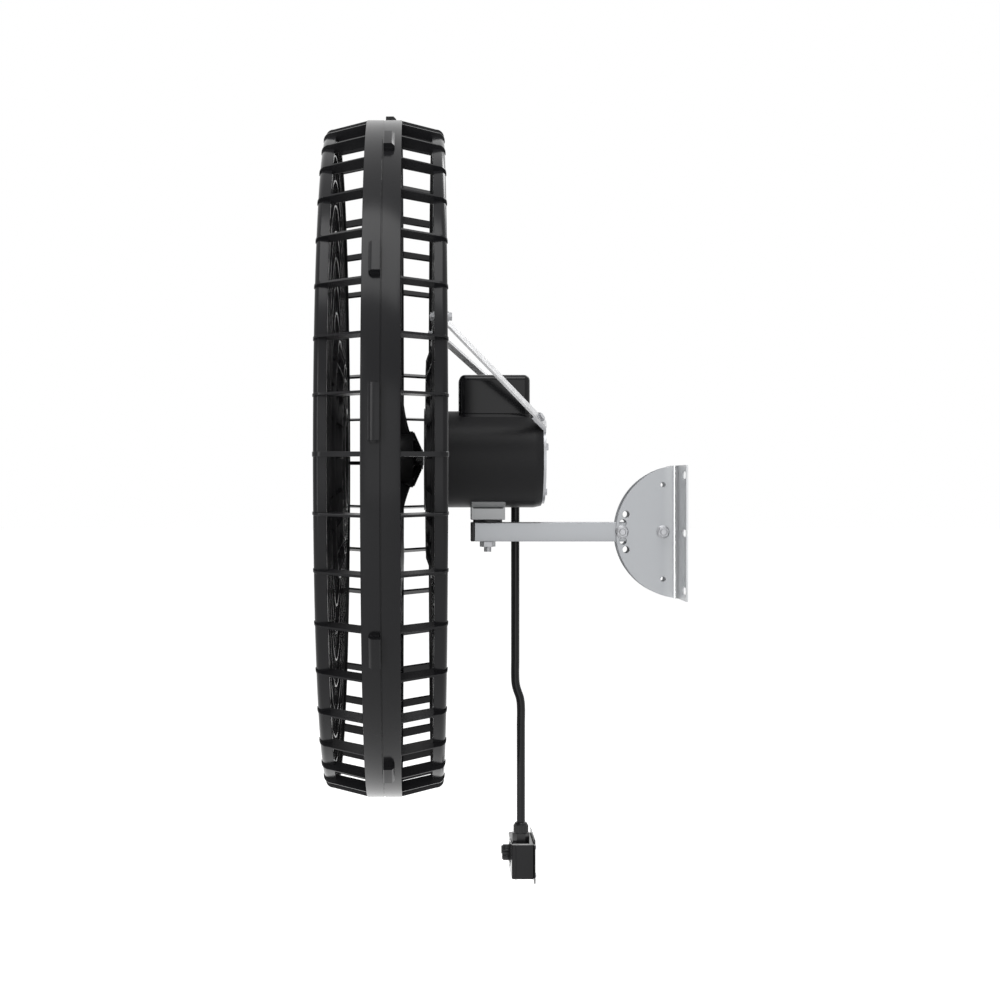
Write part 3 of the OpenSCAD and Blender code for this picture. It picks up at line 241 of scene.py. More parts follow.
rubber = Finish("cord_rubber", Specular_IOR_Level=0.2)
rubber_wear = rubber.noise(14, 3, (1, 1, 0.3))
rubber.feed(
    Base_Color=rubber.mix(rubber_wear, (0.005, 0.005, 0.006, 1), (0.011, 0.011, 0.012, 1)),
    Roughness=rubber_wear * 0.08 + 0.17,
)
rubber.bump(rubber.noise(900, 3), 0.0001, 0.25)
cord_curve.materials.append(rubber.material)
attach(cord, "head")
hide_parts("power_cord")

# Strain relief.
# A moulded rubber sleeve round the top of the cord, tapered and cut with ribs so that it can bend.
# Its thick end is held in the motor's entry box.
MM = Matrix.Scale(0.001, 4)


def shift(x, y, z):
    return Matrix.Translation((x, y, z))


def piece(name, bm, body, finish, replaced, place=Matrix(), crease=35):
    """Makes the finished object of bm, whose sizes are in millimetres, at its place in the fan."""
    bmesh.ops.transform(bm, matrix=MM @ place, verts=bm.verts)
    bmesh.ops.recalc_face_normals(bm, faces=bm.faces)
    mesh = bpy.data.meshes.new(name)
    bm.to_mesh(mesh)
    bm.free()
    mesh.shade_smooth()
    mesh.set_sharp_from_angle(angle=math.radians(crease))
    mesh.materials.append(finish.material)
    made = bpy.data.objects.new(name, mesh)
    bpy.context.scene.collection.objects.link(made)
    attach(made, body)
    if replaced:
        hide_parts(*replaced)
    return made


def turned(outline, steps=96, sweep=360, start=0):
    """Turns a closed outline of (radius, height) points about the Z axis, from start degrees on."""
    bm = bmesh.new()
    points = [bm.verts.new((r, 0, z)) for r, z in outline]
    edges = [bm.edges.new(pair) for pair in zip(points, points[1:] + points[:1])]
    geom = points + edges
    whole = sweep == 360
    if not whole:
        geom.append(bm.faces.new(points))
    bmesh.ops.spin(
        bm, geom=geom, cent=(0, 0, 0), axis=(0, 0, 1), angle=math.radians(sweep),
        steps=steps, use_merge=whole,
    )
    bmesh.ops.remove_doubles(bm, verts=bm.verts, dist=0.001)
    to_start = Matrix.Rotation(math.radians(start), 3, "Z")
    bmesh.ops.rotate(bm, cent=(0, 0, 0), matrix=to_start, verts=bm.verts)
    return bm


relief_top = 84
relief_ribs = 7
rib_pitch = 3.4
relief_outline = [(0, 0), (7.5, 0), (7.5, -3.4), (7.0, -4.0)]
for i in range(relief_ribs):
    z = -5.5 - i * rib_pitch
    r = 6.95 - i * 0.11
    relief_outline += [(r, z), (r, z - 1.9), (r - 0.8, z - 2.2), (r - 0.8, z - 3.1)]
relief_outline += [(5.9, -30.5), (5.5, -32), (0, -32)]
cord_top_x = cord_route[0][0]
piece(
    "strain_relief", turned(relief_outline, 48), "head", rubber,
    ["cord_strain_relief"], shift(cord_top_x, cord_y, relief_top),
)

# Gland.
# A nylon gland screwed into the top of the speed control: a hexagon below, and above it a
# ribbed cap nut, screwed down until it grips the cord.
nylon = Finish("black_nylon", Specular_IOR_Level=0.25)
nylon_cloud = nylon.noise(40, 3)
nylon.feed(
    Base_Color=nylon.mix(nylon_cloud, (0.010, 0.010, 0.011, 1), (0.018, 0.018, 0.019, 1)),
    Roughness=nylon_cloud * 0.10 + 0.24,
)
nylon.bump(nylon.noise(700, 2), 0.0001, 0.2)


def polar(r, degrees, at=(0, 0)):
    """The point at a radius and an angle from another point."""
    a = math.radians(degrees)
    return at[0] + r * math.cos(a), at[1] + r * math.sin(a)


def circle(r, steps, at=(0, 0), start=0):
    """Outline of a circle, or of a polygon of few steps, from start degrees on."""
    return [polar(r, 360 * i / steps + start, at) for i in range(steps)]


def verts_of(geometry):
    return [v for v in geometry if isinstance(v, bmesh.types.BMVert)]


def is_level(edge):
    return abs(edge.verts[0].co.z - edge.verts[1].co.z) < 0.001


def ease(bm, edges, width, segments):
    """Takes edges off by a width, flat with one segment and round with more."""
    bmesh.ops.bevel(
        bm, geom=edges, offset=width, offset_type="OFFSET", affect="EDGES",
        segments=segments, profile=0.5, material=-1,
    )


def prism(outline, height, edge, segments=2):
    """A closed outline of (x, y) points as a solid on z = 0, its edges eased at both ends."""
    bm = bmesh.new()
    base = bm.faces.new([bm.verts.new((x, y, 0)) for x, y in outline])
    grown = bmesh.ops.extrude_face_region(bm, geom=[base])["geom"]
    bmesh.ops.translate(bm, vec=(0, 0, height), verts=verts_of(grown))
    ease(bm, [e for e in bm.edges if is_level(e)], edge, segments)
    return bm


def fit(bm, part, *places):
    """Adds a copy of the part to bm at each place, and lets the part go."""
    mesh = bpy.data.meshes.new("part")
    part.to_mesh(mesh)
    part.free()
    for place in places or (Matrix(),):
        copy = mesh.copy()
        copy.transform(place)
        bm.from_mesh(copy)
        bpy.data.meshes.remove(copy)
    bpy.data.meshes.remove(mesh)


gland_foot = -414.4
gland = prism(circle(11.3, 6, start=-1.4), 11, 0.5)
fit(gland, turned([(0, 10.5), (9.2, 10.5), (9.2, 12.2), (0, 12.2)], 48))
cap_r = 10.0
cap_groove_r = 9.3
cap_steps = 16 * 4
cap_outline = [
    polar(cap_r if i % 4 in (0, 1) else cap_groove_r, 360 * i / cap_steps) for i in range(cap_steps)
]
fit(gland, prism(cap_outline, 9.9, 0.3, 1), shift(0, 0, 12))
cap_top = [(0, 21.6), (9.2, 21.6), (8.8, 23), (8, 24.6), (7.4, 25.2), (6.6, 25.4), (0, 25.4)]
fit(gland, turned(cap_top, 48))
cord_foot_x = cord_route[-1][0]
gland_piece = piece(
    "gland", gland, "head", nylon, ["cord_gland"], shift(cord_foot_x, cord_y, gland_foot),
)

# Speed control.
# A box moulded in glossy black plastic, open at its back and closed by a wider plate with four
# screws. A bead runs round the box, and a highlight is painted as a light line along its top front
# edge. The knob turns a switch inside.
box_low = (-213.3, 46, -461.4)
box_high = (-183.6, 140, gland_foot)
glossy = Finish("box_plastic", Specular_IOR_Level=0.2)
glossy_cloud = glossy.noise(30, 3)
glossy_height = glossy.along("Z")
# A highlight is painted as a light line along the top front edge of the box.
edge_highlight_y = box_low[1] * 0.001
edge_highlight_z = box_high[2] * 0.001
painted_edge_highlight = 1 - glossy.along("Y").over(edge_highlight_y + 0.0014, edge_highlight_y + 0.0018)
painted_edge_highlight = painted_edge_highlight * glossy_height.over(edge_highlight_z - 0.0016, edge_highlight_z - 0.0012)
# The box on the motor has this finish too, so the painted highlight ends above the speed control.
painted_edge_highlight = painted_edge_highlight * (1 - glossy_height.over(edge_highlight_z, edge_highlight_z + 0.0004))
glossy_plain = glossy.mix(glossy_cloud, (0.006, 0.006, 0.007, 1), (0.010, 0.010, 0.011, 1))
glossy.feed(
    Base_Color=glossy.mix(painted_edge_highlight, glossy_plain, (0.42, 0.42, 0.42, 1)),
    Roughness=glossy_cloud * 0.06 + 0.12,
)
glossy.bump(glossy.noise(500, 2), 0.0001, 0.05)


def turn(degrees, axis):
    return Matrix.Rotation(math.radians(degrees), 4, axis)


def block(low, high, edge, segments):
    """A box between two corners, with all its edges eased."""
    bm = bmesh.new()
    bmesh.ops.create_cube(bm, size=1)
    bmesh.ops.scale(bm, vec=Vector(high) - Vector(low), verts=bm.verts)
    bmesh.ops.translate(bm, vec=(Vector(low) + Vector(high)) / 2, verts=bm.verts)
    ease(bm, bm.edges[:], edge, segments)
    return bm


def rounded(low, high, r, steps):
    """Outline of a rectangle with rounded corners."""
    outline = []
    for x, y, start in ((1, 1, 0), (0, 1, 90), (0, 0, 180), (1, 0, 270)):
        middle = (high[0] - r if x else low[0] + r, high[1] - r if y else low[1] + r)
        outline += [polar(r, start + 90 * i / steps, middle) for i in range(steps + 1)]
    return outline


knob_y = 93
knob_z = -433.9
on_front = shift(box_low[0], knob_y, knob_z) @ turn(-90, "Y")
bead_out = 0.5
bead_low = (box_low[0] + 5, box_low[1] - bead_out, box_low[2] - bead_out)
bead_high = (box_low[0] + 6, box_high[1] + bead_out, box_high[2] + bead_out)
box = block(box_low, box_high, 1.3, 1)
fit(box, block(bead_low, bead_high, 0.3, 1))
dial = turned([(12.6, 0), (14.4, 0), (14.4, 0.5), (14.0, 0.9), (13.0, 0.9), (12.6, 0.5)], 64)
fit(box, dial, on_front)
for tick in range(0, 271, 45):
    mark = block((15.6, -0.5, 0), (18.6, 0.5, 0.5), 0.2, 1)
    fit(box, mark, on_front @ turn(-tick, "Z") @ shift(0, 0, -0.1))
box_piece = piece("control_shell", box, "head", glossy, ["control_box"], crease=40)
back_outline = rounded((42.5, -467.1), (143.5, -408.7), 2.5, 4)
# Stands what is drawn in Y and Z on its plane, with its height along X.
to_yz = Matrix(((0, 0, 1, 0), (1, 0, 0, 0), (0, 1, 0, 0), (0, 0, 0, 1)))
plate_piece = piece(
    "control_back", prism(back_outline, 1.6, 0.5), "head", glossy,
    ["control_box_plate"], shift(box_high[0], 0, 0) @ to_yz,
)

# Knob.
# A knob moulded in black nylon, with a fluted skirt and a raised pointer.
# It is pushed on the switch's spindle and stands just off the box.
knob_r = 10.7
flute_depth = 1.0
flute_n = 14
knob_steps = flute_n * 6
knob_outline = []
for i in range(knob_steps):
    dip = max(0.0, math.cos(2 * math.pi * flute_n * i / knob_steps)) ** 3
    knob_outline.append(polar(knob_r - flute_depth * dip, 360 * i / knob_steps))
knob = prism(knob_outline, 9.2, 0.4)
fit(knob, turned([(0, 8.6), (9.5, 8.6), (9.5, 10), (9, 10.5), (0, 10.5)], 64))
fit(knob, block((-1.5, -1.2, 10), (9.1, 1.2, 11.5), 0.4, 2))
fit(knob, turned([(0, -0.2), (3, -0.2), (3, 0.4), (0, 0.4)], 24))
knob_piece = piece(
    "knob", knob, "knob", nylon, ["speed_knob"], on_front @ shift(0, 0, 0.4),
)

# Wall bracket.
# Two zinc plated sheets, each a half disc folded out into a flange with three slots for the
# wall's bolts. They stand either side of the arm, as mirror images. A highlight is painted along
# each bend as a light line.
sheet_t = 2.5
plate_in = 12.8
bend_r = 8
bend_x = -bend_r
bend_y = -plate_in - bend_r
disc_r = 86
disc_set = 4
pivot_x = -21
pivot_hole_r = 4.2
spare_hole_r = 3.25
spare_hole_z = 61
index_r = 53
index_step = 12.75
index_hole_r = 4.5
flange_y = -97.3
slot_y = -77.8
slot_z = 73
slot_l = 31
slot_w = 9
zinc = Finish("dull_zinc", Specular_IOR_Level=0.5)
zinc_cloud = zinc.noise(8, 2)
zinc_x = zinc.along("X")
zinc_plain = zinc.mix(zinc_cloud, (0.300, 0.309, 0.322, 1), (0.322, 0.331, 0.344, 1))
# Painted light: the zinc is lighter towards the bend, and on it and the flange, to lift the shade
# that falls there.
painted_light_near_bend = zinc_x.over(-0.024, -0.009) * 0.6
zinc_plain = zinc.mix(painted_light_near_bend, zinc_plain, (0.47, 0.48, 0.49, 1))
zinc_plain = zinc.mix(zinc_x.over(-0.0062, -0.0040), zinc_plain, (0.50, 0.51, 0.52, 1))
# A painted highlight along each bend: a near-white line, with the zinc less rough and more metallic
# there.
bend_highlight_low, bend_highlight_high = -0.0068, -0.0050
bend_highlight_fade = 0.0006
painted_bend_highlight = zinc_x.over(bend_highlight_low, bend_highlight_low + bend_highlight_fade)
painted_bend_highlight = painted_bend_highlight - zinc_x.over(bend_highlight_high - bend_highlight_fade, bend_highlight_high)
zinc.feed(
    Base_Color=zinc.mix(painted_bend_highlight, zinc_plain, (0.90, 0.90, 0.91, 1)),
    Roughness=zinc_cloud * 0.06 + 0.28 - painted_bend_highlight * 0.16,
    Metallic=painted_bend_highlight * 0.45 + 0.55,
)
zinc.bump(zinc.noise(500, 2, (1, 1, 0.15)), 0.0001, 0.08)


def cut_sheet(outline, holes, thickness, edge=0.3):
    """Sheet of a thickness on z = 0, cut to an outline with holes in it, its edges eased."""
    bm = bmesh.new()
    edges = []
    for loop in [outline] + holes:
        points = [bm.verts.new((x, y, 0)) for x, y in loop]
        edges += [bm.edges.new(pair) for pair in zip(points, points[1:] + points[:1])]
    filled = bmesh.ops.triangle_fill(
        bm, edges=edges, use_beauty=True, use_dissolve=False, normal=(0, 0, 1),
    )
    faces = [f for f in filled["geom"] if isinstance(f, bmesh.types.BMFace)]
    grown = bmesh.ops.extrude_face_region(bm, geom=faces)["geom"]
    bmesh.ops.translate(bm, vec=(0, 0, thickness), verts=verts_of(grown))
    bmesh.ops.recalc_face_normals(bm, faces=bm.faces)
    brims = [e for e in bm.edges if e.is_manifold and e.calc_face_angle() > 1.0 and is_level(e)]
    ease(bm, brims, edge, 1)
    return bm


def slot_outline(x, y):
    """Outline of a slot with round ends, about a middle."""
    low = (x - slot_l / 2, y - slot_w / 2)
    high = (x + slot_l / 2, y + slot_w / 2)
    return rounded(low, high, slot_w / 2 - 0.1, 8)


def bracket_plate():
    """The plate on the near side, at negative Y."""
    edge_turn = math.degrees(math.acos((bend_x - disc_set) / disc_r))
    arc = [edge_turn + (360 - 2 * edge_turn) * i / 96 for i in range(97)]
    outline = [polar(disc_r, a, (disc_set, 0)) for a in arc]
    holes = [circle(pivot_hole_r, 32, (pivot_x, 0))]
    holes += [circle(spare_hole_r, 24, (pivot_x, z)) for z in (-spare_hole_z, spare_hole_z)]
    for i in range(-2, 3):
        holes.append(circle(index_hole_r, 32, polar(index_r, 180 - i * index_step, (pivot_x, 0))))
    bm = cut_sheet(outline, holes, sheet_t)
    bmesh.ops.transform(bm, matrix=shift(0, -plate_in, 0) @ turn(90, "X"), verts=bm.verts)
    bend = [polar(bend_r, a, (bend_x, bend_y)) for a in range(0, 91, 6)]
    bend += [polar(bend_r - sheet_t, a, (bend_x, bend_y)) for a in range(90, -1, -6)]
    fit(bm, prism(bend, 2 * disc_r, 0.3, 1), shift(0, 0, -disc_r))
    flange = rounded((flange_y, -disc_r), (bend_y, disc_r), 1.5, 3)
    slots = [slot_outline(slot_y, z) for z in (-slot_z, 0, slot_z)]
    fit(bm, cut_sheet(flange, slots, sheet_t), shift(-sheet_t, 0, 0) @ to_yz)
    return bm


mirrored = Matrix.Scale(-1, 4, (0, 1, 0))
piece("bracket_near", bracket_plate(), "wall_bracket", zinc, ["bracket_plate_near"])
piece(
    "bracket_far", bracket_plate(), "wall_bracket", zinc,
    ["bracket_plate_far"], mirrored,
)

# Bracket bolts.
# Zinc plated: a flange bolt that the arm tilts on, with its nut on the near plate, and a stud
# with its nut in each plate's middle index hole. A head has a chamfer and a raised round ring
# from forging.
bright = Finish("bright_zinc", Metallic=0.6, Specular_IOR_Level=0.5)
bright_cloud = bright.noise(60, 3)
bright.feed(
    Base_Color=bright.mix(bright_cloud, (0.34, 0.345, 0.36, 1), (0.44, 0.445, 0.46, 1)),
    Roughness=bright_cloud * 0.16 + 0.28,
)
bright.bump(bright.noise(800, 2), 0.0001, 0.1)
bolt_d = 8
stud_out = 2.5
hexagon_foot = 0.6
plate_face = plate_in + sheet_t


def hexagon(across):
    """Outline of a hexagon of a size across its flats."""
    return circle(across / 2 / math.cos(math.pi / 6), 6)


def flange_head(d, height):
    """Head of a flange bolt of size d, standing on z = 0."""
    rim_r = d * 1.05
    flange = [(0, 0), (rim_r, 0), (rim_r, 0.9), (rim_r - 0.4, 1.3), (d * 0.86, 1.9), (0, 1.9)]
    bm = turned(flange, 48)
    fit(bm, prism(hexagon(d * 1.6), height, 0.45, 1), shift(0, 0, hexagon_foot))
    ring = [(d * 0.56, -0.2), (d * 0.62, -0.2), (d * 0.62, 0.35)]
    ring += [(d * 0.60, 0.5), (d * 0.57, 0.5), (d * 0.56, 0.3)]
    fit(bm, turned(ring, 40), shift(0, 0, height + hexagon_foot))
    return bm


def threaded_end(d, length):
    """Thread of a bolt of size d, from z = 0 up to its chamfered end."""
    pitch = 1.25
    turns = int(length / pitch)
    outline = [(0, 0)]
    for i in range(turns):
        outline += [(d / 2 - 0.5, i * pitch), (d / 2, (i + 0.5) * pitch)]
    outline += [(d / 2 - 0.5, turns * pitch), (d / 2 - 0.9, length), (0, length)]
    return turned(outline, 32)


def flange_nut(d, out):
    """Nut with its flange on z = 0, and the bolt's end standing out of it."""
    height = d * 0.85
    bm = flange_head(d, height)
    fit(bm, threaded_end(d, out), shift(0, 0, height + hexagon_foot))
    return bm


def shank(d, length):
    """Shank of a bolt of size d, from inside its head down."""
    return turned([(0, -length), (d / 2, -length), (d / 2, 1), (0, 1)], 32)


to_near = turn(90, "X")
to_far = turn(-90, "X")
pivot_bolt = flange_head(bolt_d, 5.2)
fit(pivot_bolt, shank(bolt_d, 32))
piece(
    "pivot_bolt_detail", pivot_bolt, "wall_bracket", bright, ["pivot_bolt"],
    shift(pivot_x, plate_face, 0) @ to_far,
)
piece(
    "pivot_nut_detail", flange_nut(bolt_d, stud_out), "wall_bracket", bright,
    ["pivot_nut"], shift(pivot_x, -plate_face, 0) @ to_near @ turn(14, "Z"),
)
locks = bmesh.new()
for side, facing in ((-1, to_near), (1, to_far)):
    place = shift(pivot_x - index_r, side * plate_face, 0) @ facing
    fit(locks, flange_nut(bolt_d, stud_out), place @ turn(20, "Z"))
    fit(locks, shank(bolt_d, 2.6), place)
piece("lock_screw_pair", locks, "wall_bracket", bright, ["lock_screws"])

# Arm.
# A length of zinc plated square tube, open at the back, with a nylon plug in its front end.
# A nylon washer lies on it for the fan to swivel on.
arm_w = 25
arm_wall = 2
arm_low, arm_high = -264, -8
plug_t = 5
swivel_x = -247
washer_t = 3


def square(width, r, steps):
    """Outline of a square with rounded corners, about the middle."""
    return rounded((-width / 2, -width / 2), (width / 2, width / 2), r, steps)


tube_inside = square(arm_w - 2 * arm_wall, 0.8, 4)
tube = cut_sheet(square(arm_w, 1.6, 4), [tube_inside], arm_high - arm_low, 0.25)
tube_place = shift(arm_low, 0, 0) @ to_yz
piece("square_tube", tube, "arm", zinc, ["arm_tube"], tube_place, crease=30)
plug = prism(square(arm_w, 2.0, 5), plug_t, 0.9, 3)
plug_place = shift(arm_low - plug_t, 0, 0) @ to_yz
piece("tube_plug", plug, "arm", nylon, ["arm_end_cap"], plug_place)
washer = turned(rounded((4.9, 0), (19, washer_t), 0.5, 2), 64)
piece("washer", washer, "arm", nylon, ["swivel_washer"], shift(swivel_x, 0, arm_w / 2))

# Foot bracket.
# One sheet bent into a channel, zinc plated, with the swivel bolt's head inside it.
# It is welded along both sides to a saddle that follows the motor.
pressed = Finish("pressed_zinc", Metallic=0.55, Specular_IOR_Level=0.5)
pressed_cloud = pressed.noise(30, 4)
pressed.feed(
    Base_Color=pressed.mix(pressed_cloud, (0.30, 0.305, 0.31, 1), (0.35, 0.355, 0.36, 1)),
    Roughness=pressed_cloud * 0.12 + 0.34,
)
pressed.bump(pressed.noise(600, 2), 0.0001, 0.1)
fan_z = 94
motor_r = 62.5
saddle_r = motor_r + 3
foot_l = 43.5
foot_half_w = 20


def under(r, y):
    """Height of the underside of a round of radius r about the fan's axis."""
    return fan_z - math.sqrt(r * r - y * y)


def underside(r, across):
    return [(y, under(r, y)) for y in across]


foot_section = underside(saddle_r, [-foot_half_w])
foot_section += [(-20, 17.7), (-19.4, 16.3), (-18, 15.7), (18, 15.7), (19.4, 16.3), (20, 17.7)]
foot_section += underside(saddle_r, [foot_half_w, 22, 25, 28, 31])
foot_section += underside(motor_r + 0.05, range(30, -31, -3))
foot_section += underside(saddle_r, [-31, -28, -25, -22])
foot_hollow = [(-17, 18.9), (-16.8, 18.7), (16.8, 18.7), (17, 18.9)]
foot_hollow += underside(saddle_r, [17, 12, 6, 0, -6, -12, -17])
foot = bmesh.new()
foot_place = shift(swivel_x - foot_l / 2, 0, 0) @ to_yz
fit(foot, cut_sheet(foot_section, [foot_hollow], foot_l, 0.35), foot_place)
weld_places = []
for side in (-1, 1):
    for x in range(-18, 19, 2):
        seam = shift(swivel_x + x, side * foot_half_w, under(saddle_r, foot_half_w) - 0.3)
        weld_places.append(seam @ turn(90 * side, "X"))
fit(foot, turned([(0, 0), (1.3, 0), (1.1, 0.8), (0, 1.3)], 10), *weld_places)
piece("foot_channel", foot, "head", pressed, ["foot_bracket"])

# Swivel nut.
# A zinc plated nut with a round locking collar, on the swivel bolt's end below the arm.
# The end of the bolt's thread stands in the collar, coloured darker than the nut.
below_arm = shift(swivel_x, 0, -12.7) @ turn(180, "X")
swivel_across = 17.7
swivel_d = 9.4
collar_top = 7.15
thread_foot = 6.2
swivel_nut = prism(hexagon(swivel_across), 6.8, 0.3, 1)
collar = [(0, 0), (7.4, 0), (7.4, 7), (6.9, collar_top)]
collar += [(5, collar_top), (5, thread_foot), (0, thread_foot)]
fit(swivel_nut, turned(collar, 40))
piece("swivel_nut_detail", swivel_nut, "head", bright, ["swivel_nut"], below_arm)
dark_steel = Finish("dark_thread_steel", Metallic=0.3, Specular_IOR_Level=0.3)
dark_steel_cloud = dark_steel.noise(90, 3)
dark_steel.feed(
    Base_Color=dark_steel.mix(dark_steel_cloud, (0.035, 0.034, 0.033, 1), (0.075, 0.073, 0.070, 1)),
    Roughness=dark_steel_cloud * 0.15 + 0.32,
)
thread_place = below_arm @ shift(0, 0, thread_foot)
piece(
    "swivel_thread", threaded_end(swivel_d, 7.1), "head", dark_steel,
    [], thread_place,
)

# Motor.
# A round steel drum, painted black, with a rounded rear edge.
# A small entry box for the cord stands on its far side.
paint = Finish("motor_paint", Specular_IOR_Level=0.10)
paint_cloud = paint.noise(12, 3)
paint.feed(
    Base_Color=paint.mix(paint_cloud, (0.014, 0.014, 0.015, 1), (0.020, 0.020, 0.021, 1)),
    Roughness=paint_cloud * 0.10 + 0.32,
)
paint.bump(paint.noise(650, 2), 0.0001, 0.25)
# Lays what is turned about Z on the fan's axis, with its height towards the front.
# The height counts from the guard's joint.
guard_x = -379.6
FAN = Matrix(((0, 0, -1, guard_x), (0, 1, 0, 0), (1, 0, 0, fan_z), (0, 0, 0, 1)))
drum_back = -202
drum_front = -66
drum_inner_r = 59
drum_outline = [
    (0, drum_back), (59.1, drum_back), (60.1, -201.6), (60.6, -200.8), (62.4, -192.4),
    (motor_r, -191), (motor_r, drum_front - 0.4), (motor_r - 0.4, drum_front),
    (drum_inner_r, drum_front), (drum_inner_r, drum_back + 6), (0, drum_back + 6),
]
drum = bmesh.new()
fit(drum, turned(drum_outline, 128), FAN)
fit(drum, block((-222.5, 34, 84), (-192.5, 82, 106), 3, 3))
piece("motor_drum", drum, "head", paint, ["motor_shell"])

# Top box.
# A moulded cover with rounded edges over the capacitor, glossy black.
# It stands on a base that follows the drum, and its sides run straight down to it.
cover_foot = 152.9
skirt_top = 160.6
cover = block((-284.6, -31, cover_foot), (-193.6, 31, 202.5), 7.5, 5)
bmesh.ops.bisect_plane(
    cover, geom=cover.verts[:] + cover.edges[:] + cover.faces[:], plane_co=(0, 0, skirt_top),
    plane_no=(0, 0, 1), clear_inner=True,
)
skirt = bmesh.ops.extrude_edge_only(cover, edges=[e for e in cover.edges if e.is_boundary])["geom"]
bmesh.ops.translate(cover, vec=(0, 0, cover_foot - skirt_top), verts=verts_of(skirt))
bmesh.ops.holes_fill(cover, edges=[e for e in cover.edges if e.is_boundary], sides=0)
piece("capacitor_cover", cover, "head", glossy, ["top_box_cover"])
base = prism(rounded((-285.2, -31.6), (-193.0, 31.6), 8, 5), 8.5, 0.6)
piece("capacitor_base", base, "head", glossy, ["top_box_base"], shift(0, 0, 144))

# Guard.
# Two black mouldings that meet edge to edge. Each is a band, spokes that wrap its corner ring,
# and a grille. Latches stand on the band across the joint. The rear moulding is bolted to the
# motor and holds the front one.
moulded = Finish("guard_plastic", Specular_IOR_Level=0.14)
moulded_cloud = moulded.noise(5, 3)
moulded.feed(
    Base_Color=moulded.mix(moulded_cloud, (0.008, 0.008, 0.009, 1), (0.012, 0.012, 0.013, 1)),
    Roughness=moulded_cloud * 0.05 + 0.16,
)
moulded.bump(moulded.noise(420, 2), 0.0001, 0.06)
guard_r = 433.5
half_depth = 74
corner_r = 417
grille_r = 409
spoke_n = 40
spoke_t = 3.0
key_spoke_t = 5.5
spoke_turns = [360 * i / spoke_n for i in range(spoke_n)]
latch_l = 44
long_latch_l = 67
hook_l = 2.6


def around(turns):
    """Places about the fan's axis."""
    return [turn(t, "Z") for t in turns]


def spoke(thickness):
    """A spoke in the plane of its own radius, its x outwards and its z along the fan's axis."""
    outline = [(432, 5.5), (432.7, 22), (422, 64.8)]
    outline += [polar(10, a, (412, 64.8)) for a in range(15, 91, 15)]
    outline += [(409, 74.8), (409, 73), (411, 71.3), (411, 59), (419.5, 22), (430.4, 5.5)]
    bm = prism(outline, thickness, 0.35, 1)
    bmesh.ops.transform(bm, matrix=turn(90, "X") @ shift(0, 0, -thickness / 2), verts=bm.verts)
    return bm


def latch(length):
    """A bar on the X axis, one edge sloping, less on a long bar, with a hook at each end."""
    slope = [(441.2, 13.7), (440.8, 13.9)] if length > latch_l else [(439.3, 13.6), (438.8, 13.9)]
    bar = [(432, 0.6), (441.9, 0.6), (442.5, 1.2), (442.5, 10.4), (442.3, 10.7)]
    bar += slope + [(432, 13.9)]
    sweep = math.degrees((length - 5) / guard_r)
    bm = turned(bar, 8, sweep, -sweep / 2)
    hook = [(432, 2.2), (437.6, 2.2), (438, 2.8), (438, 10.6), (437.2, 11.6), (432, 11.6)]
    hook_sweep = math.degrees(hook_l / guard_r)
    for side in (-1, 1):
        middle = side * math.degrees((length - hook_l) / 2 / guard_r)
        fit(bm, turned(hook, 2, hook_sweep, middle - hook_sweep / 2))
    return bm


def rim(latches, long_latches):
    """Band, corner ring, spokes and latches of one half, with its joint on z = 0."""
    band = [(430.5, 0.01), (432.4, 0.01), (432.4, 0.5), (433.2, 0.6), (guard_r, 0.9)]
    band += [(guard_r, 21.0), (433.2, 21.7), (432.5, 22), (431, 22), (430.5, 21.5)]
    bm = turned(band, 200)
    corner = [(grille_r, 59.4), (grille_r + 0.4, 59), (corner_r - 0.4, 59), (corner_r, 59.4)]
    corner += [polar(7, a, (410, 67)) for a in range(0, 91, 15)]
    corner += [(grille_r, half_depth)]
    fit(bm, turned(corner, 200))
    key_turns = [90, 270]
    fit(bm, spoke(spoke_t), *around(t for t in spoke_turns if t not in key_turns))
    fit(bm, spoke(key_spoke_t), *around(key_turns))
    fit(bm, latch(latch_l), *around(latches))
    if long_latches:
        fit(bm, latch(long_latch_l), *around(long_latches))
    return bm


dish_r, dish_flat_r, dish_depth = 165, 128, 13


def dish(r):
    """Depth of the dish in the middle of the grille."""
    return dish_depth * min(max((dish_r - r) / (dish_r - dish_flat_r), 0), 1)


def wire_ring(r, thickness, depth, sink=0.0):
    """A ring of the grille, sunk as far as the dish is deep at its radius."""
    top = half_depth - dish(r) - sink
    return turned(rounded((r - thickness / 2, top - depth), (r + thickness / 2, top), 0.45, 1), 160)


deep_t = 2.4
deep_depth = 11
fine_t = 1.8
fine_depth = 5
fine_sink = 0.8
rib_t = 2.0
rib_depth = 8


def fine_ring(r):
    return wire_ring(r, fine_t, fine_depth, fine_sink)


def rib(inner_r):
    """A radial rib that follows the dish."""
    top = half_depth - fine_sink
    outline = [(409.5, top), (409.5, top - rib_depth)]
    if inner_r > dish_r:
        outline += [(inner_r, top - rib_depth), (inner_r, top)]
    else:
        outline += [(r, top - dish(r) - rib_depth) for r in (dish_r, dish_flat_r, inner_r)]
        outline += [(r, top - dish(r)) for r in (inner_r, dish_flat_r, dish_r)]
    bm = prism(outline, rib_t, 0.4, 1)
    bmesh.ops.transform(bm, matrix=turn(90, "X") @ shift(0, 0, -rib_t / 2), verts=bm.verts)
    return bm


outer_ring_r = 407.8
# The gaps between the deep rings widen a little towards the middle.
deep_rings = [389 - 31 * i - 0.45 * i * (i - 1) for i in range(8)]
middle_rings = [122, 104, 86]
middle_fine_rings = [113, 95, 76]
long_rib_r = 63
short_rib_r = deep_rings[5]


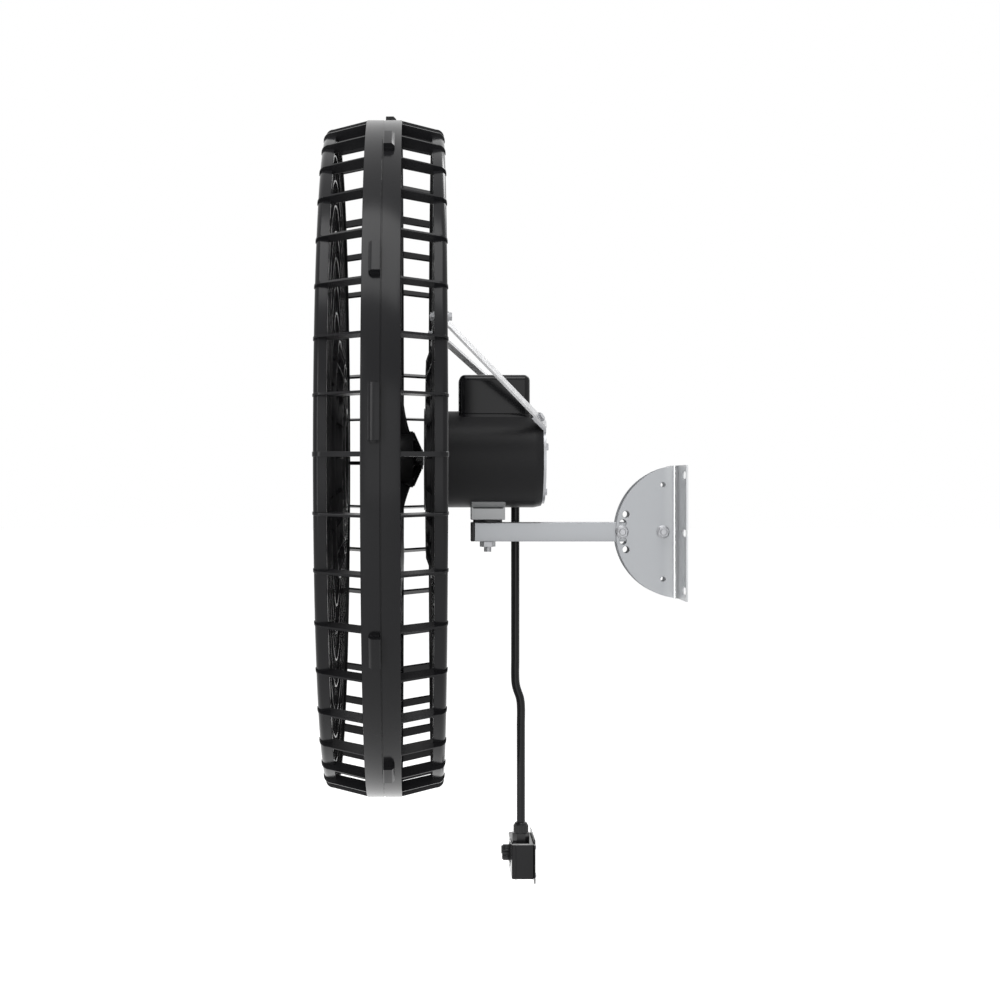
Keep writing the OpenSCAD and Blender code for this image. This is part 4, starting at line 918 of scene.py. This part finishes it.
def middle_plate(hole_r):
    """The plate in the middle of a grille, with a raised edge, and a hole if it has a radius."""
    low, top = half_depth - 24, half_depth - dish_depth
    under_face = 56
    if hole_r:
        outline = [(hole_r, under_face), (hole_r, top)]
    else:
        outline = [(0, under_face), (0, top - 1.4), (50, top - 1.4), (51.5, top)]
    outline += [(65.2, top), (66, top - 0.8), (66, low + 0.6), (65.4, low), (61.6, low)]
    outline += [(61, low + 0.6), (61, under_face)]
    return turned(outline)


def grille(hole_r):
    """Deep rings, one or two finer ones in each gap, ribs and the round plate in the middle."""
    bm = wire_ring(outer_ring_r, deep_t, deep_depth)
    for r in deep_rings:
        fit(bm, wire_ring(r, deep_t, deep_depth))
    for outer, inner in zip([outer_ring_r] + deep_rings, deep_rings + middle_rings[:1]):
        count = 1 if outer == outer_ring_r else 2
        for i in range(count):
            fit(bm, fine_ring(outer + (inner - outer) * (i + 1) / (count + 1)))
    for r in middle_rings:
        fit(bm, wire_ring(r, 2.0, 9))
    for r in middle_fine_rings:
        fit(bm, fine_ring(r))
    fit(bm, rib(long_rib_r), *around(spoke_turns[::2]))
    fit(bm, rib(short_rib_r), *around(spoke_turns[1::2]))
    fit(bm, middle_plate(hole_r))
    return bm


REAR = FAN @ Matrix.Scale(-1, 4, (0, 0, 1))
front_rim = rim([-60, -120, 60, 120], [-84, 84])
piece("front_rim", front_rim, "head", moulded, ["front_guard_rim"], FAN)
rear_rim = rim([-31, -149, 0, 149, 31], [])
piece("rear_rim", rear_rim, "head", moulded, ["rear_guard_rim"], REAR)
piece("front_grille", grille(0), "head", moulded, ["front_guard_grille"], FAN)
rear_grille = grille(23.2)
strut_turn = 40
strut_bolt_r = 226
pad = [(3.05, 62.2), (11.4, 62.2), (12, 62.8), (12, 74.2), (11.4, 74.8), (3.05, 74.8)]
for side in (-1, 1):
    fit(rear_grille, turned(pad, 40), turn(side * strut_turn, "Z") @ shift(strut_bolt_r, 0, 0))
piece("rear_grille", rear_grille, "head", moulded, ["rear_guard_grille"], REAR)

# Blades.
# One black moulding: three wide twisted blades on a round hub with webs round its neck.
# A set screw in the neck holds it on the motor's shaft.
blade_n = 3
root_r, tip_r = 31.5, 381
root_chord, tip_chord = 68, 125
root_pitch, tip_pitch = 45, 14
blade_bow = 5
blade_sweep = 30
blade_set = -7
blade_t = 3
web_n = 12
web_t = 2.4


def blade_point(s, c):
    """Middle of a blade, s of the way from hub to tip and c across it from -0.5 to 0.5."""
    pitch = math.radians(tip_pitch + (root_pitch - tip_pitch) * (1 - s) ** 10)
    chord = (root_chord + (tip_chord - root_chord) * s) * (1 - 0.4 * s ** 14)
    across = c * chord
    bow = blade_bow * (1 - 4 * c * c)
    return (
        root_r + (tip_r - root_r) * s,
        across * math.cos(pitch) - bow * math.sin(pitch) + blade_sweep * s * s,
        across * math.sin(pitch) + bow * math.cos(pitch) + blade_set,
    )


blade_plastic = Finish("blade_plastic", Specular_IOR_Level=0.3)
blade_cloud = blade_plastic.noise(9, 3)
blade_plastic.feed(
    Base_Color=blade_plastic.mix(blade_cloud, (0.018, 0.018, 0.019, 1), (0.026, 0.026, 0.027, 1)),
    Roughness=blade_cloud * 0.08 + 0.26,
)
blade_plastic.bump(blade_plastic.noise(420, 2), 0.0001, 0.15)
hub_outline = [
    (8, -48.6), (12.4, -48.6), (13, -48), (13, -39.6), (36, -35.8), (36.5, -35.2), (36.5, 5.4),
    (35.2, 8.2), (32.5, 9.4), (30, 9.4), (28.5, 8.4), (28.5, -9), (8, -9),
]
blades = turned(hub_outline)
blade = bmesh.new()
bmesh.ops.create_grid(blade, x_segments=28, y_segments=14, size=0.5)
for v in blade.verts:
    v.co = blade_point(v.co.x + 0.5, v.co.y)
bmesh.ops.recalc_face_normals(blade, faces=blade.faces)
bmesh.ops.solidify(blade, geom=blade.faces[:], thickness=blade_t)
bmesh.ops.recalc_face_normals(blade, faces=blade.faces)
blade_rim = [e for e in blade.edges if e.is_manifold and e.calc_face_angle() > 1.0]
ease(blade, blade_rim, 1.1, 3)
fit(blades, blade, *around(360 * i / blade_n for i in range(blade_n)))
web = prism([(12, -39.4), (36, -35.9), (36, -37.4), (14, -47)], web_t, 0.3, 1)
upright = turn(90, "X") @ shift(0, 0, -web_t / 2)
web_places = around(15 + 360 * i / web_n for i in range(web_n))
fit(blades, web, *[place @ upright for place in web_places])
piece("blades", blades, "rotor", blade_plastic, ["fan_blade"], FAN, crease=40)

# Struts.
# Two flat straps, galvanised with a fine spangle, from the plate behind the motor up to the guard.
# Each is held by a screw at its foot and by a bolt through a pad of the guard at its top.
galvanised = Finish("galvanised", Metallic=0.5, Specular_IOR_Level=0.5)
spangle = galvanised.noise(140, 4)
galvanised.feed(
    Base_Color=galvanised.mix(spangle, (0.36, 0.365, 0.37, 1), (0.74, 0.74, 0.75, 1)),
    Roughness=spangle * 0.3 + 0.28,
)
galvanised.bump(galvanised.noise(400, 2), 0.0002, 0.2)

# Inside of the motor.
# A ground steel shaft with a rotor of stacked sheets on it turns in ball bearings.
# Round it the drum holds a stator, stacked of sheets as well and wound with copper.
steel = Finish("ground_steel", Metallic=1.0)
steel_lines = steel.noise(300, 2, (0.05, 1, 1))
steel.feed(
    Base_Color=steel.mix(steel_lines, (0.45, 0.45, 0.46, 1), (0.60, 0.60, 0.61, 1)),
    Roughness=steel_lines * 0.2 + 0.22,
)
laminated = Finish("stacked_sheets", Metallic=0.6)
layers = laminated.node(
    "ShaderNodeTexWave", {"bands_direction": "X"},
    {"Vector": laminated.place(), "Scale": 320.0, "Distortion": 0.4},
)
laminated.feed(
    Base_Color=laminated.mix(layers, (0.10, 0.10, 0.11, 1), (0.22, 0.22, 0.24, 1)),
    Roughness=layers * 0.2 + 0.4,
)
copper = Finish("wound_copper", Metallic=0.8)
wires = copper.node(
    "ShaderNodeTexWave", {"bands_direction": "X"},
    {"Vector": copper.place(), "Scale": 260.0, "Distortion": 3.0},
)
copper.feed(
    Base_Color=copper.mix(wires, (0.30, 0.11, 0.04, 1), (0.62, 0.28, 0.13, 1)),
    Roughness=wires * 0.2 + 0.3,
)

# Finish of the other pieces.
# The struts, the small screws and what is inside the motor and the boxes keep the shapes they have.
# Each takes the finish of its material, but for the struts and their lower screws.
finish_of_slot = {
    "zinc_plated": zinc, "bright_zinc": bright, "guard_black": moulded,
    "blade_black": blade_plastic, "motor_black": paint, "box_black": glossy,
    "cord_rubber": rubber, "nylon": nylon, "shaft_steel": steel, "lamination": laminated,
    "copper": copper, "alloy_can": bright,
}
finish_of_node = {"strut_near": galvanised, "strut_far": galvanised, "ear_screws": bright}
for subpart in frame["record"]["subparts"]:
    finish = finish_of_node.get(subpart["node"], finish_of_slot[subpart["material_slot"]])
    mesh = frame["nodes"][subpart["node"]].data
    mesh.materials.clear()
    mesh.materials.append(finish.material)
